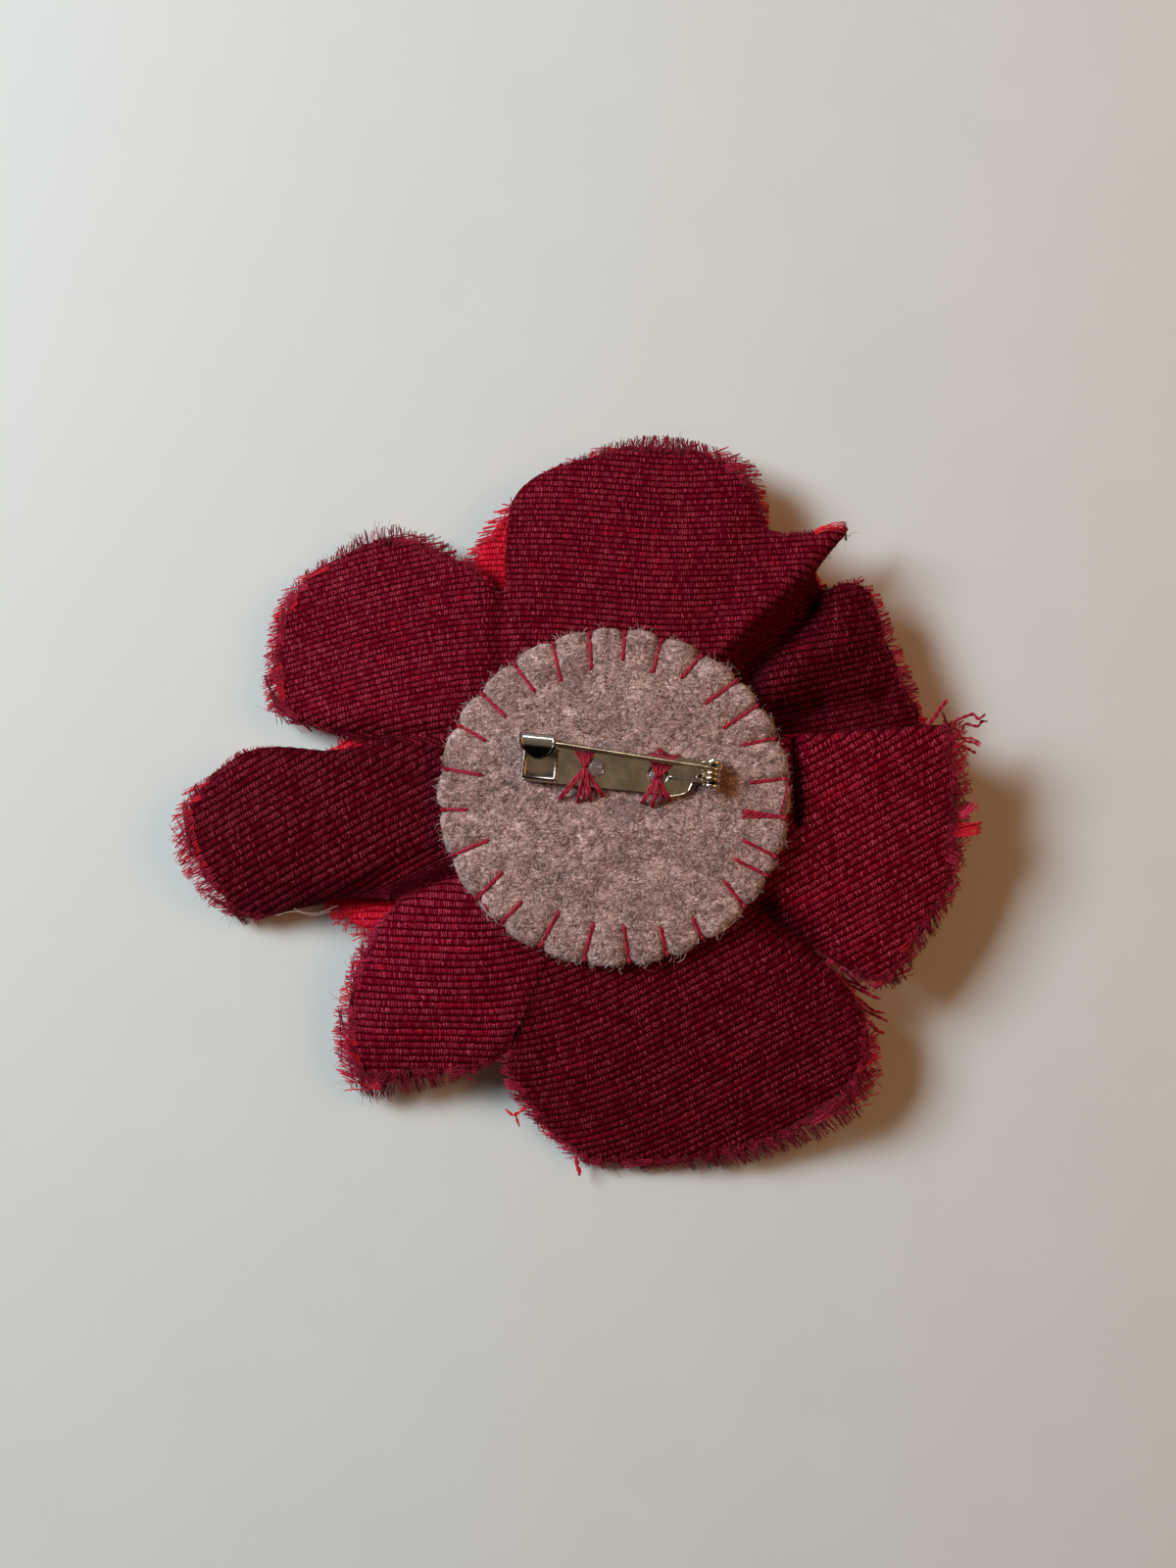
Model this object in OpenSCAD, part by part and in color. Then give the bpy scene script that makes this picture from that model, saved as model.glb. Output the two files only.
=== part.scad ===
// Cloth flower brooch with a felt backing and a bar pin, lying face down with its pin side up.
// Millimetres. +X runs along the longer side, +Z points up from the face that rests on a table.

/* [Cloth] */
// Thickness of the woven cloth
cloth_t = 1; // [0.9:0.1:1.1]
// Height of the middle of the back cloth under the felt
cloth_z = 15.4; // [15:0.1:16]
// Radius inside which the back cloth lies flat
hub_r = 14; // [13:0.5:15]
// Spline steps between two rows of a petal's rim
rim_steps = 3; // [2:1:3]
// Rows of the back cloth from its flat middle to its rim
cloth_rows = 8; // [8:1:10]

/* [Front layer] */
// Drop from the back cloth's middle to the front layer's
layer_drop = 1.7; // [1.6:0.1:2]
// Reach of a front lobe
lobe_tip_r = 42; // [38:0.5:43]
// Reach of the front layer between two lobes
lobe_valley_r = 26; // [24:1:30]
// Direction of the first front lobe
lobe_turn = 99; // [95:1:103]
// Height of a front lobe's tip
lobe_tip_z = 3.6; // [3:0.2:5]

/* [Padded centre] */
// Radius of the padded centre
centre_r = 13; // [11:0.5:13.5]
// Radius of the flat that it rests on
centre_flat_r = 8; // [6:0.5:9]

/* [Felt backing] */
// Radius of the felt disc
felt_r = 22.3; // [21:0.1:23]
// Thickness of the felt
felt_t = 2; // [1.5:0.1:2.5]
// Number of scallops that the edge stitches pull in
scallops = 27; // [20:1:32]
// Depth of a scallop
scallop_d = 0.45; // [0.2:0.05:0.8]
// Dip of the felt's edge below its middle
felt_dip = 0.3; // [0.1:0.05:0.4]

/* [Bar pin] */
// Length of the plate
plate_l = 24.8; // [24:0.2:26]
// Width of the plate
plate_w = 4.8; // [4.6:0.1:5.2]
// Thickness of the plate
plate_t = 0.5; // [0.4:0.05:0.6]
// Slope of the plate across the felt
plate_tilt = 5.6; // [0:0.2:12]
// Distance between the sewing holes
hole_gap = 8.3; // [8:0.1:9]
// Radius of a sewing hole
hole_r = 1.25; // [1.1:0.05:1.4]
// Radius of the pin wire
wire_r = 0.35; // [0.3:0.01:0.38]
// Radius of the rivet
rivet_r = 0.45; // [0.4:0.01:0.48]
// Running clearance between the rivet and the coil
rivet_gap = 0.05; // [0.02:0.01:0.1]
// Turns of the coil
coil_turns = 3; // [2:1:3]

/* [Hidden] */
$fn = 48;

// Gap left between two layers of cloth, and between two thin pieces that are pressed together
gap = 0.15;
seat_gap = 0.05;
// Thickness of the clear glue, and how far it stands up in a sewing hole
glue_t = 0.35;
glue_dome = 0.3;

// Rims of the petals. A row is one ray of the cloth: [x, y, height] of its end at the rim and
// the root angle at which it leaves the hub, all about the felt's centre.
// Each list runs counter-clockwise and starts at the valley before its petal.
rim_right = [[25.6, -19.2, 12.2, -42], [34.6, -23.3, 10.5, -22], [39.5, -19, 10.5, -10],
             [43.5, -12.5, 10.5, -1], [44.8, -5.5, 11.5, 7], [45, 1.5, 12, 16], [45, 7, 12.5, 26]];
rim_right_tuck = [[44.2, 7.8, 10.4, 29.5], [42.5, 8.6, 8.6, 33]];
rim_upper_right = [[40.2, 10.2, 7.8, 36.5], [38.5, 15, 8, 39], [36, 20.5, 8.5, 41],
                   [34, 26, 9, 43], [31, 28, 9, 44.5], [27.8, 27.3, 8.5, 47.5]];
rim_upper_tuck = [[26.4, 29.6, 7.6, 51.5], [29, 33.4, 8.8, 56]];
rim_top = [[30, 35, 10.5, 60], [25, 34.3, 10, 66], [20.2, 34.6, 9.5, 69], [19.5, 38, 8.5, 71],
           [18, 42, 8, 75], [14, 45, 7, 80], [8, 46.7, 6, 85], [1.5, 46.7, 5.5, 90],
           [-8.5, 43, 5.5, 96], [-13, 39, 6, 101], [-14, 32.5, 9, 105]];
rim_upper_left = [[-14.5, 26.5, 11.5, 117], [-20, 31, 9, 126], [-29.5, 35, 5, 130], [-37.5, 31.5, 4, 134],
                  [-43, 27, 3.8, 137], [-45.5, 21, 3.5, 140], [-45.5, 14.5, 3.5, 144],
                  [-44, 11, 4, 147], [-38.5, 9, 6, 151]];
rim_left = [[-31, 7, 10.5, 160], [-38, 5.8, 9.5, 168], [-47.5, 6.3, 8, 171], [-52.5, 3, 7, 174],
            [-56, -0.5, 6, 177], [-57.5, -4.5, 5.5, 180], [-55, -11, 5, 184], [-49.5, -16.3, 4, 187],
            [-42, -14.5, 5, 190], [-35, -13, 7.5, 194]];
rim_lower_left = [[-28.5, -13.5, 10, 204], [-31, -17, 8, 213], [-34, -22, 6, 217], [-35.4, -28, 5, 221],
                  [-35.7, -35, 4, 225], [-33, -40.3, 3, 229], [-25.5, -38.3, 5, 233], [-17, -35.3, 8, 238]];
rim_bottom = [[-13.5, -32.3, 10, 247], [-14, -37, 7, 256], [-10.5, -42.5, 4, 261], [-4.5, -48.3, 2.5, 267],
              [2.5, -49, 2, 273], [10, -48.8, 2.5, 279], [21, -46.7, 4, 287], [31, -41, 7, 295],
              [33.6, -34, 8.5, 303], [32, -27, 10.5, 311]];

// One row for each petal or pleat: [rim, ease]. The height of a ray falls with the power
// ease of its length, so an ease over 1 arches and one under 1 drops at once.
petals = [
    [rim_right, 1.5],
    [rim_right_tuck, 0.65],
    [rim_upper_right, 0.9],
    [rim_upper_tuck, 0.85],
    [rim_top, 1.6],
    [rim_upper_left, 1.6],
    [rim_left, 1.7],
    [rim_lower_left, 1.6],
    [rim_bottom, 1.7]
];

function mix(a, b, t) = a + (b - a) * t;

// Catmull-Rom curve between b and c
function curve(a, b, c, d, t) =
    b + ((c - a) * t + (2 * a - 5 * b + 4 * c - d) * t * t + (3 * b - a - 3 * c + d) * t * t * t) / 2;

// Row i of a closed list of rays, whose root angle gains 360 degrees each time round
function ray_at(rays, i) =
    let (n = len(rays), lap = floor(i / n)) rays[i - lap * n] + [0, 0, 0, 360 * lap, 0];

function smooth_rays(rays, steps) = [
    for (i = [0 : len(rays) - 1], k = [0 : steps - 1])
        curve(ray_at(rays, i - 1), ray_at(rays, i), ray_at(rays, i + 1), ray_at(rays, i + 2), k / steps)
];

// Rays as [x, y, height, root angle, ease]
petal_rays = [for (p = petals, row = p[0]) concat(row, [p[1]])];

// Front lobe rays: the reach falls from each tip to the valley between two lobes
lobes = 4;
lobe_step = 5;
lobe_power = 1.3;
lobe_ease = 0.9;
lobe_lift = 4;
lobe_rays = [
    for (a = [0 : lobe_step : 360 - lobe_step])
        let (
            from_tip = (a - lobe_turn + 720 + 180 / lobes) % (360 / lobes) - 180 / lobes,
            share = pow(max(cos(from_tip * lobes / 2), 0), lobe_power),
            reach = mix(lobe_valley_r, lobe_tip_r, share),
            height = mix(lobe_tip_z + lobe_lift, lobe_tip_z, share)
        )
        [reach * cos(a), reach * sin(a), height, a, lobe_ease]
];

// Middle surface of a cloth: an inner ring, the hub ring and then rows out to the rim
function cloth_grid(rays, hub, z, rows) = [
    for (r = rays)
        let (root = hub * [cos(r[3]), sin(r[3])])
        concat(
            [[root[0] / 2, root[1] / 2, z]],
            [for (k = [0 : rows])
                let (
                    s = k / rows,
                    p = mix(root, [r[0], r[1]], s)
                )
                [p[0], p[1], mix(z, r[2], pow(s, r[4]))]]
        )
];

function unit(v) = v / max(norm(v), 0.0001);

// Direction across the cloth at ray j and row k
function across(grid, j, k) =
    let (
        n = len(grid),
        last = len(grid[0]) - 1,
        along = grid[j][min(k + 1, last)] - grid[j][max(k - 1, 0)],
        round = grid[(j + 1) % n][k] - grid[(j + n - 1) % n][k]
    )
    unit(cross(along, round));

// One face of the cloth, half a thickness to the side of its middle
function cloth_face(grid, side) = [
    for (j = [0 : len(grid) - 1], k = [0 : len(grid[0]) - 1])
        grid[j][k] + side * cloth_t / 2 * across(grid, j, k)
];

module cloth(grid, z) {
    n = len(grid);
    m = len(grid[0]);
    size = n * m;
    points = concat(cloth_face(grid, 1), cloth_face(grid, -1),
                    [[0, 0, z + cloth_t / 2], [0, 0, z - cloth_t / 2]]);
    upper = [for (j = [0 : n - 1], k = [0 : m - 2])
        let (a = j * m + k, b = ((j + 1) % n) * m + k) each [[a, b, b + 1], [a, b + 1, a + 1]]];
    lower = [for (f = upper) [f[0] + size, f[2] + size, f[1] + size]];
    rim = [for (j = [0 : n - 1])
        let (a = j * m + m - 1, b = ((j + 1) % n) * m + m - 1)
        each [[a, b, b + size], [a, b + size, a + size]]];
    hub_fans = [for (j = [0 : n - 1])
        let (a = j * m, b = ((j + 1) % n) * m)
        each [[2 * size, b, a], [2 * size + 1, a + size, b + size]]];
    polyhedron(points, concat(upper, lower, rim, hub_fans), convexity = 10);
}

petal_grid = cloth_grid(smooth_rays(petal_rays, rim_steps), hub_r, cloth_z, cloth_rows);
lobe_rows = 6;
lobe_hub_r = 10;
lobe_z = cloth_z - layer_drop;
lobe_grid = cloth_grid(lobe_rays, lobe_hub_r, lobe_z, lobe_rows);

// The origin is the middle of the whole outline, at the height of the table
cloth_points = concat(cloth_face(petal_grid, 1), cloth_face(petal_grid, -1));
cloth_xs = [for (p = cloth_points) p[0]];
cloth_ys = [for (p = cloth_points) p[1]];
felt_centre = -[min(cloth_xs) + max(cloth_xs), min(cloth_ys) + max(cloth_ys)] / 2;

module at_felt(z = 0) {
    translate([felt_centre[0], felt_centre[1], z]) children();
}

module back_petals() {
    color([0.36, 0.03, 0.09]) at_felt() cloth(petal_grid, cloth_z);
}

module front_petals() {
    color([0.75, 0.04, 0.06]) at_felt() cloth(lobe_grid, lobe_z);
}

// Padded centre, with a flat where it rests and rounded shoulders
centre_top = lobe_z - cloth_t / 2 - gap;
centre_shoulder_r = 3.5;
centre_belly_r = centre_r - centre_flat_r;

module centre() {
    profile = concat(
        [[0, 0], [0, centre_top]],
        [for (a = [90 : -15 : 0])
            [centre_r + centre_shoulder_r * (cos(a) - 1), centre_top + centre_shoulder_r * (sin(a) - 1)]],
        [for (a = [0 : -15 : -90])
            [centre_r + centre_belly_r * (cos(a) - 1), centre_belly_r * (sin(a) + 1)]]
    );
    color([0.42, 0.03, 0.08]) at_felt() rotate_extrude() polygon(profile);
}

// Felt disc, pillowed towards its scalloped edge
felt_z = cloth_z + cloth_t / 2 + gap;
felt_flat_r = 17;
felt_scallop_steps = 4;
felt_edge = [[0, 1], [0.45, 0.97], [0.8, 0.82], [1, 0.5], [0.97, 0.18], [0.85, 0]];

function felt_radius(a) = felt_r - scallop_d * (1 - abs(sin(a * scallops / 2)));

module felt_disc() {
    n = scallops * felt_scallop_steps;
    m = len(felt_edge);
    points = concat(
        [for (i = [0 : n - 1], e = felt_edge)
            let (a = 360 * i / n, r = mix(felt_flat_r, felt_radius(a), e[0]))
            [r * cos(a), r * sin(a), felt_t * e[1] - felt_dip * e[0]]],
        [[0, 0, felt_t], [0, 0, 0]],
        [for (i = [0 : n - 1]) felt_flat_r * [cos(360 * i / n), sin(360 * i / n), 0]]
    );
    top = n * m;
    under = top + 2;
    sides = [for (i = [0 : n - 1], k = [0 : m - 2])
        let (a = i * m + k, b = ((i + 1) % n) * m + k) each [[a, b, b + 1], [a, b + 1, a + 1]]];
    flats = [for (i = [0 : n - 1])
        let (j = (i + 1) % n)
        each [[top, j * m, i * m], [top + 1, under + i, under + j],
              [i * m + m - 1, j * m + m - 1, under + j], [i * m + m - 1, under + j, under + i]]];
    color([0.55, 0.47, 0.43]) at_felt(felt_z) polyhedron(points, concat(sides, flats), convexity = 4);
}

// Bar pin: its own frame has the plate's centre as origin, the hinge towards +X and the catch at -X
glue_z = felt_z + felt_t + seat_gap;
plate_z = glue_z + glue_t + seat_gap;
plate_centre = [1.3, 3.3];
plate_left = -12.7;
plate_right = plate_left + plate_l;
hinge_x = plate_right - 1.2;
ear_t = 0.4;
ear_r = 1.15;
// Inner faces of the two ears
ear_low_y = -0.55;
ear_high_y = plate_w / 2 - ear_t;
rivet_head_r = 0.75;
rivet_head_t = 0.3;
rivet_fit = 0.02;
// Turns of the coil bite into each other and into the sleeve that is its bore
coil_bite = 0.02;
coil_bore_r = rivet_r + rivet_gap;
coil_mid_r = coil_bore_r + wire_r + coil_bite;
coil_r = coil_mid_r + wire_r;
coil_pitch = 2 * wire_r - coil_bite;
coil_mid_y = (ear_low_y + ear_high_y) / 2;
coil_end_y = coil_mid_y + (coil_turns - 1) / 2 * coil_pitch;
hinge_z = plate_t + coil_r + 0.1;
// Rolled catch: a sheet curled round the wire, with a flap over the plate
catch_w = 4.1;
catch_t = 0.35;
catch_in_r = 0.6;
catch_out_r = catch_in_r + catch_t;
catch_y = 2.6;
catch_z = plate_t + 0.75;
catch_flap_end = 0.5;
catch_flap_slope = 8;
// Wire from the top of the coil to its rest in the catch. It is a shaft that thickens slightly
// into the coil and tapers to its point.
wire_start = [hinge_x, coil_end_y, hinge_z + coil_mid_r];
wire_rest = [plate_left + 1.4, catch_y + 0.13, catch_z + 0.13];
wire_dir = unit(wire_rest - wire_start);
wire_root_r = wire_r + 0.02;
wire_root_l = 1.4;
wire_shaft_l = 17;
wire_l = 22.8;
wire_tip_r = 0.08;
tail_l = 4.3;

module at_plate(z = 0) {
    at_felt(plate_z + z) translate(plate_centre) rotate(-plate_tilt) children();
}

// Stands its children at a place with their axis along dir
module along(from, dir) {
    translate(from) rotate([0, acos(dir[2]), atan2(dir[1], dir[0])]) children();
}

module glue() {
    // Where the glue was squeezed out: [x, y, radius]
    pools = [[-1.8, 1.4, 2], [-7.8, -1.5, 2.2], [-0.3, -3, 3], [4.6, -1.8, 2.4]];
    film_l = 21.3;
    film_w = 4;
    color([0.9, 0.88, 0.86, 0.6]) at_plate(glue_z - plate_z) {
        linear_extrude(glue_t) union() {
            translate([plate_left + 1, -film_w / 2]) square([film_l, film_w]);
            for (p = pools) translate([p[0], p[1]]) circle(p[2]);
        }
        for (x = [-1, 1] * hole_gap / 2)
            translate([x, 0, 0]) cylinder(h = plate_z - glue_z + plate_t + glue_dome, r = hole_r - seat_gap);
    }
}

// The plate's corner is cut away beside the lower ear
module plate_outline() {
    half = plate_w / 2;
    neck = ear_low_y - ear_t;
    cut_x = hinge_x - 3;
    cut_corner = [hinge_x - 1.7, neck - 0.8];
    neck_x = hinge_x - 1.4;
    difference() {
        polygon([[plate_left, -half], [cut_x, -half], cut_corner, [neck_x, neck],
                 [plate_right, neck], [plate_right, half], [plate_left, half]]);
        for (x = [-1, 1] * hole_gap / 2) translate([x, 0]) circle(hole_r);
    }
}

module ear(y) {
    translate([hinge_x, y + ear_t, 0]) rotate([90, 0, 0]) linear_extrude(ear_t) difference() {
        union() {
            translate([-ear_r, 0]) square([2 * ear_r, hinge_z]);
            translate([0, hinge_z]) circle(ear_r);
        }
        translate([0, hinge_z]) circle(rivet_r + rivet_fit);
    }
}

// Section of the catch across the bar: a ring open towards the plate, and its flap
module catch_section() {
    far = 2 * catch_out_r;
    mouth = 0.3;
    bite = 0.05;
    translate([catch_y, catch_z]) rotate(catch_flap_slope) {
        difference() {
            circle(catch_out_r);
            circle(catch_in_r);
            polygon([[0, 0], [0, far], [-far, far], [-far, -far], [-mouth, -far]]);
        }
        translate([catch_flap_end - catch_y, catch_in_r])
            square([catch_y - catch_flap_end + bite, catch_t]);
    }
}

module catch() {
    high = 6;
    bite = 0.2;
    intersection() {
        translate([plate_left, 0, 0]) rotate([90, 0, 90]) linear_extrude(catch_w) catch_section();
        // The flap ends in a round tongue
        union() {
            translate([plate_left, catch_y - 0.7, -1]) cube([catch_w, 3, high]);
            translate([plate_left + catch_w / 2, catch_flap_end + catch_w / 2, -1])
                cylinder(h = high, r = catch_w / 2);
        }
    }
    translate([plate_left, plate_w / 2 - bite, 0]) cube([catch_w, catch_y - plate_w / 2 + bite, plate_t]);
}

module pin_plate() {
    lip_w = 0.35;
    lip_h = 0.3;
    color([0.62, 0.6, 0.57]) at_plate() {
        linear_extrude(plate_t) plate_outline();
        ear(ear_low_y - ear_t);
        ear(ear_high_y);
        catch();
        // Low lip along the end of the plate that carries the catch
        translate([plate_left, -plate_w / 2, 0]) cube([catch_w, lip_w, plate_t + lip_h]);
    }
}

module rivet() {
    end_play = 0.03;
    shank = ear_high_y - ear_low_y + 2 * (ear_t + end_play);
    color([0.7, 0.68, 0.65]) at_plate()
        translate([hinge_x, ear_low_y - ear_t - end_play, hinge_z]) rotate([-90, 0, 0]) {
            cylinder(h = shank, r = rivet_r);
            translate([0, 0, -rivet_head_t]) cylinder(h = rivet_head_t, r1 = rivet_r, r2 = rivet_head_r);
            translate([0, 0, shank]) cylinder(h = rivet_head_t, r1 = rivet_head_r, r2 = rivet_r);
        }
}

// Touching turns, joined by a thin sleeve that is the bore round the rivet
module coil() {
    sleeve_l = (coil_turns - 1) * coil_pitch + wire_r;
    translate([hinge_x, coil_mid_y, hinge_z]) rotate([90, 0, 0]) rotate_extrude() union() {
        for (i = [0 : coil_turns - 1])
            translate([coil_mid_r, (i - (coil_turns - 1) / 2) * coil_pitch]) circle(wire_r);
        translate([coil_bore_r, -sleeve_l / 2]) square([coil_mid_r - coil_bore_r, sleeve_l]);
    }
}

module pin_wire() {
    leg = [[0, 0], [wire_root_r, 0], [wire_r, wire_root_l], [wire_r, wire_root_l + wire_shaft_l],
           [wire_tip_r, wire_l], [0, wire_l]];
    color([0.72, 0.66, 0.55]) at_plate() {
        coil();
        along(wire_start, wire_dir) rotate_extrude() polygon(leg);
    }
}

// The coil's other end, pressed on the plate
module spring_tail() {
    color([0.72, 0.7, 0.66]) at_plate()
        along([hinge_x - coil_r - tail_l, coil_mid_y - coil_pitch, plate_t + wire_r + seat_gap], [1, 0, 0])
            cylinder(h = tail_l, r = wire_r);
}

back_petals();
front_petals();
centre();
felt_disc();
glue();
pin_plate();
rivet();
pin_wire();
spring_tail();
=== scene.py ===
import math

import bpy
import numpy as np
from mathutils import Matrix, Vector
from mathutils.geometry import tessellate_polygon


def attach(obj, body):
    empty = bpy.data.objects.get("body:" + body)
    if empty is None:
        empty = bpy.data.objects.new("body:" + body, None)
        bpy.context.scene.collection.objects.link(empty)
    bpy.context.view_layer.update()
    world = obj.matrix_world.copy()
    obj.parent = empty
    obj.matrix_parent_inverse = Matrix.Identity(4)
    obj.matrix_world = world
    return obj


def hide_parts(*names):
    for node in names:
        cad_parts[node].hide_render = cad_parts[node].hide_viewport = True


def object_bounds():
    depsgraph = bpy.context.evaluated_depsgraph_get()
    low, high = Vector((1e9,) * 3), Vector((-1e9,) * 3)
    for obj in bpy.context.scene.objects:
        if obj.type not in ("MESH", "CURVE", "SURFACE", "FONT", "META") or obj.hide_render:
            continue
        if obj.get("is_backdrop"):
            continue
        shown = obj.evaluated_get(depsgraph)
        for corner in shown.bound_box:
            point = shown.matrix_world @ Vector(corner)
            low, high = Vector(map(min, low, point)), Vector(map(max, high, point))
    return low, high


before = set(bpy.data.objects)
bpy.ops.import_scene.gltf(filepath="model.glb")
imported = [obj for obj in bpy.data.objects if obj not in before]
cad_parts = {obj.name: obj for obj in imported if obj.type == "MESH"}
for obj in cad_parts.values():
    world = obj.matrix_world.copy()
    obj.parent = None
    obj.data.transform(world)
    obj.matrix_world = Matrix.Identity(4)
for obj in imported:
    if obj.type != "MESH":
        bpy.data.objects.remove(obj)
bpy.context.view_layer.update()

# Points are in millimetres about the centre of the felt, with z up from the table, as in part.scad.
MM = 0.001
FELT_CENTRE = np.array([6.26717, 1.04354, 0.0])

# The photograph is 1200 x 1600 pixels, taken straight down from this point of the part's frame
EYE = np.array([2.91, 2.78, 310.0])
MM_PER_PIXEL = 0.1315
PHOTO_MIDDLE = np.array([600.0, 800.0])


def at_pixel(px, py, z):
    """The point at height z that the photograph shows at a pixel."""
    scale = MM_PER_PIXEL * (EYE[2] - z) / EYE[2]
    x = EYE[0] + (px - PHOTO_MIDDLE[0]) * scale
    y = EYE[1] - (py - PHOTO_MIDDLE[1]) * scale
    return np.array([x, y, z]) - FELT_CENTRE


def smooth(low, high, value):
    """0 below low and 1 above high, with a soft step between."""
    t = np.clip((value - low) / (high - low), 0, 1)
    return t * t * (3 - 2 * t)


def mix(a, b, t):
    return a + (b - a) * t


def noise(x, y, cell, seed):
    """Soft noise from -1 to 1 whose features are about one cell across."""
    size = 128
    table = np.random.default_rng(seed).uniform(-1, 1, (size, size))
    gx, gy = np.asarray(x) / cell, np.asarray(y) / cell
    ix, iy = np.floor(gx).astype(int), np.floor(gy).astype(int)
    fx, fy = smooth(0, 1, gx - ix), smooth(0, 1, gy - iy)
    low = mix(table[ix % size, iy % size], table[(ix + 1) % size, iy % size], fx)
    high = mix(table[ix % size, (iy + 1) % size], table[(ix + 1) % size, (iy + 1) % size], fx)
    return mix(low, high, fy)


def unit(v):
    return v / np.maximum(np.linalg.norm(v, axis=-1, keepdims=True), 1e-9)


# Meshes

def add_piece(name, points, faces, body, slot, materials, weave=None, tone=None, face_slots=None):
    """A mesh object from points in millimetres about the felt's centre and lists of face arrays."""
    mesh = bpy.data.meshes.new(name)
    points = (np.asarray(points, float) + FELT_CENTRE) * MM
    faces = [np.asarray(f, int) for f in faces if len(f)]
    corners = np.concatenate([f.ravel() for f in faces])
    counts = np.concatenate([np.full(len(f), f.shape[1]) for f in faces])
    mesh.vertices.add(len(points))
    mesh.vertices.foreach_set("co", points.ravel())
    mesh.loops.add(len(corners))
    mesh.loops.foreach_set("vertex_index", corners)
    mesh.polygons.add(len(counts))
    mesh.polygons.foreach_set("loop_start", np.concatenate([[0], np.cumsum(counts)[:-1]]))
    mesh.polygons.foreach_set("use_smooth", np.ones(len(counts), bool))
    if face_slots is not None:
        mesh.polygons.foreach_set("material_index", face_slots)
    mesh.update(calc_edges=True)
    if weave is not None:
        mesh.attributes.new("weave", "FLOAT_VECTOR", "POINT").data.foreach_set("vector", weave.ravel())
    if tone is not None:
        mesh.attributes.new("tone", "FLOAT", "POINT").data.foreach_set("value", np.asarray(tone, float).ravel())
    for material in materials:
        mesh.materials.append(material)
    piece = bpy.data.objects.new(name, mesh)
    bpy.context.collection.objects.link(piece)
    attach(piece, body)
    return piece


def paint(piece, **values):
    """Adds a value per point to a piece's mesh, for its material to read."""
    for name, value in values.items():
        piece.data.attributes.new(name, "FLOAT", "POINT").data.foreach_set("value", np.asarray(value, float))


def grid_faces(rows, columns, start=0, wrap=False):
    """Quads over a grid of points stored row by row. With wrap, the last row joins the first."""
    r = np.arange(rows if wrap else rows - 1)
    c = np.arange(columns - 1)
    a = start + r[:, None] * columns + c[None, :]
    b = start + ((r + 1) % rows)[:, None] * columns + c[None, :]
    return np.stack([a, b, b + 1, a + 1], axis=-1).reshape(-1, 4)


def joined(parts):
    """(points, faces) of several (points, faces) parts as one."""
    points, faces, start = [], [], 0
    for p, fs in parts:
        points.append(p)
        faces += [np.asarray(f, int) + start for f in fs if len(f)]
        start += len(p)
    return np.concatenate(points), faces


def tubes(paths, radii, sides=3):
    """Closed tubes along many paths of the same number of points: (N, P, 3) and (N, P)."""
    count, steps = paths.shape[:2]
    tangent = unit(np.gradient(paths, axis=1))
    up = np.where(np.abs(tangent[..., 2:]) > 0.9, [1.0, 0.0, 0.0], [0.0, 0.0, 1.0])
    side = unit(np.cross(tangent, up))
    lift = np.cross(side, tangent)
    angle = 2 * np.pi * np.arange(sides) / sides
    ring = (side[:, :, None] * np.cos(angle)[:, None] + lift[:, :, None] * np.sin(angle)[:, None])
    points = (paths[:, :, None] + ring * radii[:, :, None, None]).reshape(-1, 3)
    base = (np.arange(count) * steps * sides)[:, None, None]
    k = np.arange(steps - 1)[None, :, None] * sides
    i = np.arange(sides)[None, None, :]
    j = (i + 1) % sides
    wall = np.stack([base + k + i, base + k + sides + i, base + k + sides + j, base + k + j], axis=-1)
    first = base[:, 0] + np.arange(sides)[None, :]
    last = base[:, 0] + (steps - 1) * sides + np.arange(sides)[::-1][None, :]
    return points, [wall.reshape(-1, 4), first, last]


def thick_sheet(grid, thickness):
    """A closed sheet from a grid of middle points, with a rounded edge all round."""
    rows, columns = grid.shape[:2]
    normal = unit(np.cross(np.gradient(grid, axis=0), np.gradient(grid, axis=1)))
    upper = (grid + normal * thickness / 2).reshape(-1, 3)
    lower = (grid - normal * thickness / 2).reshape(-1, 3)
    index = np.arange(rows * columns).reshape(rows, columns)
    loop = np.concatenate([index[0, :-1], index[:-1, -1], index[-1, :0:-1], index[:0:-1, 0]])
    middle = grid.reshape(-1, 3)[loop]
    ahead = unit(np.roll(middle, -1, axis=0) - np.roll(middle, 1, axis=0))
    out = np.cross(ahead, normal.reshape(-1, 3)[loop])
    inward = unit(grid.reshape(-1, 3).mean(axis=0) - middle)
    out *= -np.sign(np.sum(out * inward, axis=1, keepdims=True))
    edge = middle + out * thickness * 0.4
    n, m = rows * columns, len(loop)
    nxt = np.roll(loop, -1)
    e = 2 * n + np.arange(m)
    f = np.roll(e, -1)
    top = grid_faces(rows, columns)
    faces = [top, top[:, ::-1] + n, np.stack([loop, nxt, f, e], axis=1)[:, ::-1],
             np.stack([e, f, nxt + n, loop + n], axis=1)[:, ::-1]]
    return np.concatenate([upper, lower, edge]), faces


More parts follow.
